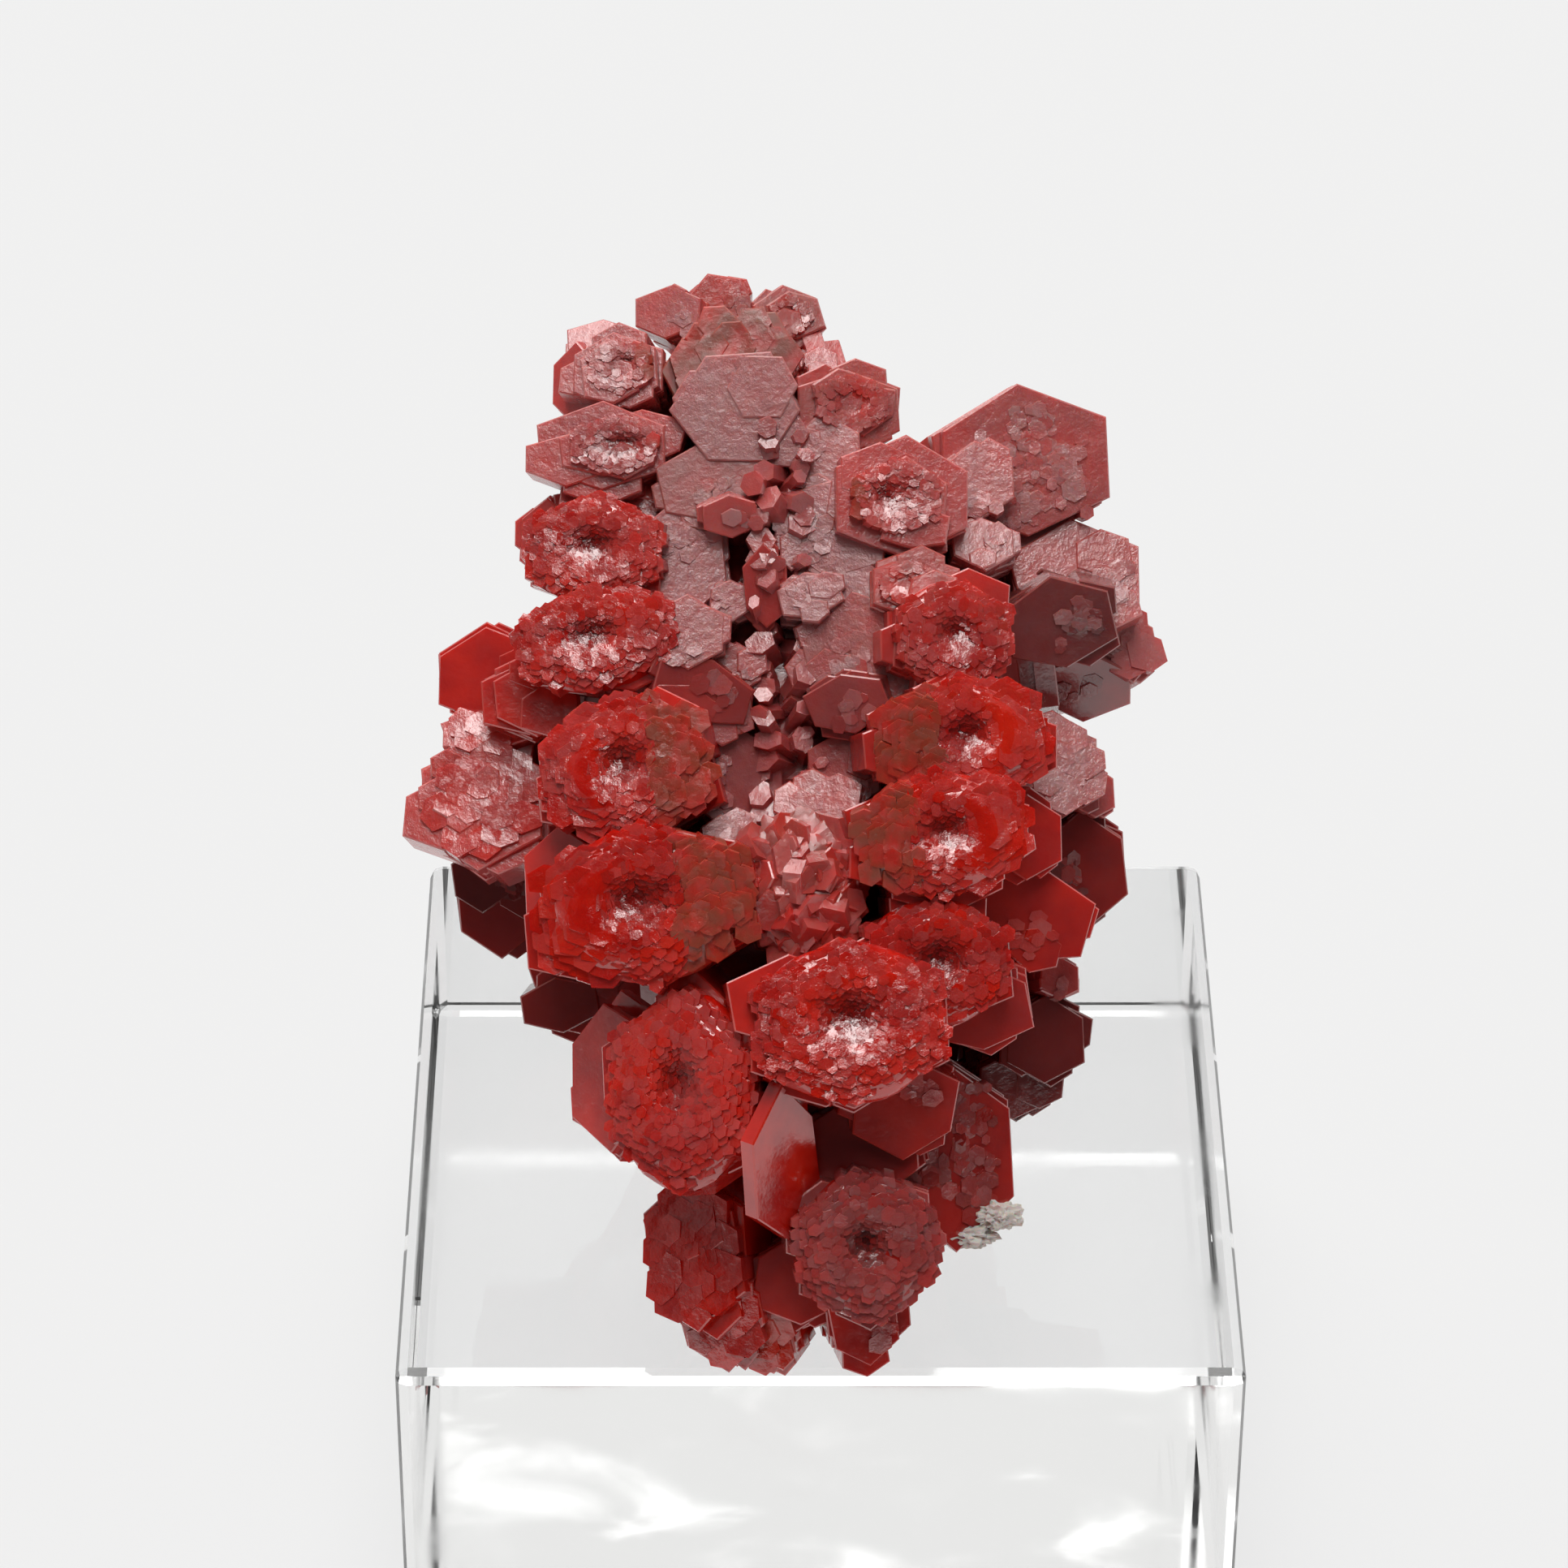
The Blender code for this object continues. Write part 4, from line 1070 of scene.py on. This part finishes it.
CELL_LEANS = (0.03, 0.10)
WRINKLE_SIZE = 0.45
WRINKLE_HEIGHT = 0.12
WRINKLE_STRENGTHS = (0.10, 0.60)
SCALY_STRENGTH = 0.35
ETCH_SIZE = 0.16
ETCH_HEIGHT = 0.04
ETCH_STRENGTHS = (0.08, 0.50)

vanadinite, shader = new_material("vanadinite_crystal")
crystal_tree = vanadinite.node_tree
nodes, links = crystal_tree.nodes, crystal_tree.links
combine = partial(work_out, crystal_tree)
vector_math = partial(work_out, crystal_tree, kind="ShaderNodeVectorMath")
spread = partial(stretch, crystal_tree)


def read_number(name):
    node = nodes.new("ShaderNodeAttribute")
    node.attribute_name = name
    return node.outputs["Fac"]


def noise_at(millimetres, detail, roughness=0.55):
    """A noise whose patches are about that size."""
    node = nodes.new("ShaderNodeTexNoise")
    set_values(node, {"Scale": 1.0 / (millimetres * MM), "Detail": detail, "Roughness": roughness})
    links.new(place.outputs["Object"], node.inputs["Vector"])
    return node.outputs["Fac"]


def mix_colour(share, one, two):
    node = nodes.new("ShaderNodeMix")
    node.data_type = "RGBA"
    links.new(share, node.inputs["Factor"])
    feed(crystal_tree, node.inputs[6], one)
    feed(crystal_tree, node.inputs[7], two)
    return node.outputs[2]


place = nodes.new("ShaderNodeTexCoord")
frost = read_number("frost")
tone = read_number("tone")
rim = read_number("rim")
scaly = read_number("scaly")
body = mix_colour(spread(noise_at(RED_PATCH, 3.0), 0.35, 0.68), DEEP_RED, BRIGHT_RED)
# A dark tone mixes towards DARK_RED: partly crystals' own darker colour, and painted shade on crystals
# that lie in shadow and deep in bloom eyes.
body = mix_colour(spread(tone, 0.0, -0.8), body, DARK_RED)
stain = combine("MULTIPLY", spread(tone, 0.0, 1.0), spread(noise_at(STAIN_PATCH, 4.0), 0.30, 0.60))
body = mix_colour(stain, body, RUST_BROWN)
honey = spread(noise_at(HONEY_PATCH, 2.0), 0.52, 0.66)
body = mix_colour(combine("MULTIPLY", spread(tone, *HONEY_TONES), honey), body, HONEY)
veil = combine("MULTIPLY", frost, spread(noise_at(FROST_SHEEN_PATCH, 6.0, 0.65), 0.30, 0.70, 0.70, 1.05))
# Painted sheen: where frost is high the body is mixed towards pinkish grey, partly the etched frost's
# own colour and partly a painted reflection of the bright room.
body = mix_colour(combine("MULTIPLY", veil, FROST_SHEEN_SHARE), body, FROST_SHEEN_PINK)
# Painted highlight: the bevelled rim faces are mixed towards a lighter pink whether light falls on them
# or not.
body = mix_colour(combine("MULTIPLY", rim, RIM_HIGHLIGHT_SHARE), body, RIM_HIGHLIGHT_PINK)
rock_share = spread(tone, *ROCK_TONES)
body = mix_colour(rock_share, body, ROCK_PALE)
links.new(body, shader.inputs["Base Color"])
gloss = spread(noise_at(GLOSS_PATCH, 3.0), 0.3, 0.7, *CLEAN_ROUGHNESS)
gloss = combine("ADD", combine("MULTIPLY", veil, FROST_ROUGHNESS), gloss)
gloss = combine("ADD", gloss, spread(tone, 0.3, 0.9, 0.0, STAIN_ROUGHNESS))
gloss = combine("MAXIMUM", gloss, combine("MULTIPLY", rock_share, ROCK_ROUGHNESS))
links.new(gloss, shader.inputs["Roughness"])
set_values(shader, {
    "IOR": CRYSTAL_IOR,
    "Subsurface Weight": GLOW_SHARE,
    "Subsurface Radius": GLOW_COLOURS,
    "Subsurface Scale": GLOW_DEPTH * MM,
})


def bump(height, strength, distance, normal):
    node = nodes.new("ShaderNodeBump")
    node.inputs["Distance"].default_value = distance * MM
    links.new(height, node.inputs["Height"])
    links.new(strength, node.inputs["Strength"])
    links.new(normal, node.inputs["Normal"])
    return node.outputs["Normal"]


surface = nodes.new("ShaderNodeNewGeometry").outputs["Normal"]
cells = nodes.new("ShaderNodeTexVoronoi")
cells.inputs["Scale"].default_value = 1.0 / (CELL_SIZE * MM)
links.new(place.outputs["Object"], cells.inputs["Vector"])
leaning = nodes.new("ShaderNodeVectorMath")
leaning.operation = "SCALE"
links.new(vector_math("SUBTRACT", cells.outputs["Color"], (0.5, 0.5, 0.5)), leaning.inputs[0])
links.new(spread(scaly, 0.0, 1.0, *CELL_LEANS), leaning.inputs["Scale"])
leaned = vector_math("NORMALIZE", vector_math("ADD", surface, leaning.outputs[0]), (0.0, 0.0, 0.0))
wrinkles = spread(frost, 0.1, 0.9, *WRINKLE_STRENGTHS)
wrinkles = combine("MAXIMUM", wrinkles, combine("MULTIPLY", scaly, SCALY_STRENGTH))
wrinkled = bump(noise_at(WRINKLE_SIZE, 5.0, 0.65), wrinkles, WRINKLE_HEIGHT, leaned)
etching = spread(frost, 0.0, 1.0, *ETCH_STRENGTHS)
etched = bump(noise_at(ETCH_SIZE, 6.0, 0.6), etching, ETCH_HEIGHT, wrinkled)
links.new(etched, shader.inputs["Normal"])

guide = bpy.data.meshes.new("plate_places")
guide.from_pydata([scale["place"] for scale in scales], [], [])
guide.attributes.new("turned", "QUATERNION", "POINT")
guide.attributes.new("size", "FLOAT_VECTOR", "POINT")
for name in FINISHES:
    guide.attributes.new(name, "FLOAT", "POINT")
for number, scale in enumerate(scales):
    guide.attributes["turned"].data[number].value = scale["turned"]
    guide.attributes["size"].data[number].vector = scale["size"]
    for name in FINISHES:
        guide.attributes[name].data[number].value = scale[name]
grower = bpy.data.objects.new("grower", guide)
bpy.context.scene.collection.objects.link(grower)
growth = grower.modifiers.new("grow together", "NODES")
growth.node_group = build_growth_tree()
set_inputs(
    growth,
    small_plates=plates_collection,
    crystals=crystals_collection,
    base_cutter=base_cutter,
    plate_scale=1.0,
    seed=GROWTH_SEED,
    material=vanadinite,
)
graph = bpy.context.evaluated_depsgraph_get()
cluster_mesh = bpy.data.meshes.new_from_object(grower.evaluated_get(graph))
bpy.data.objects.remove(grower)
for spare in list(crystals_collection.objects) + list(plates_collection.objects) + [base_cutter]:
    bpy.data.objects.remove(spare)
keep_outer_shell(cluster_mesh)
cluster_mesh.transform(FACE)
cluster_mesh.shade_smooth()
cluster_mesh.set_sharp_from_angle(angle=SHARP_ANGLE)
cluster = bpy.data.objects.new("crystals_grown_together", cluster_mesh)
bpy.context.scene.collection.objects.link(cluster)
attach(cluster, "root")
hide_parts("crystal_cluster")

# Display block: a cast acrylic block with polished faces and slightly rounded edges; the specimen
# only stands on it. Handling has left faint smears on its faces.
ACRYLIC_COLOUR = (0.985, 0.99, 0.99, 1.0)
ACRYLIC_IOR = 1.49
SMEAR_SIZE = 7.0
SMEAR_DETAIL = 5.0
SMEAR_CURL = 0.6
SMEAR_RANGE = (0.45, 0.70)
SMEAR_ROUGHNESS = (0.01, 0.16)

acrylic, clear = new_material("clear_acrylic")
acrylic_tree = acrylic.node_tree
set_values(clear, {"Base Color": ACRYLIC_COLOUR, "IOR": ACRYLIC_IOR, "Transmission Weight": 1.0})
smears = acrylic_tree.nodes.new("ShaderNodeTexNoise")
set_values(smears, {"Scale": 1.0 / (SMEAR_SIZE * MM), "Detail": SMEAR_DETAIL, "Distortion": SMEAR_CURL})
spot = acrylic_tree.nodes.new("ShaderNodeTexCoord")
acrylic_tree.links.new(spot.outputs["Object"], smears.inputs["Vector"])
hazy = stretch(acrylic_tree, smears.outputs["Fac"], *SMEAR_RANGE, *SMEAR_ROUGHNESS)
acrylic_tree.links.new(hazy, clear.inputs["Roughness"])
block = frame["nodes"]["display_block"]
block.data.materials.clear()
block.data.materials.append(acrylic)
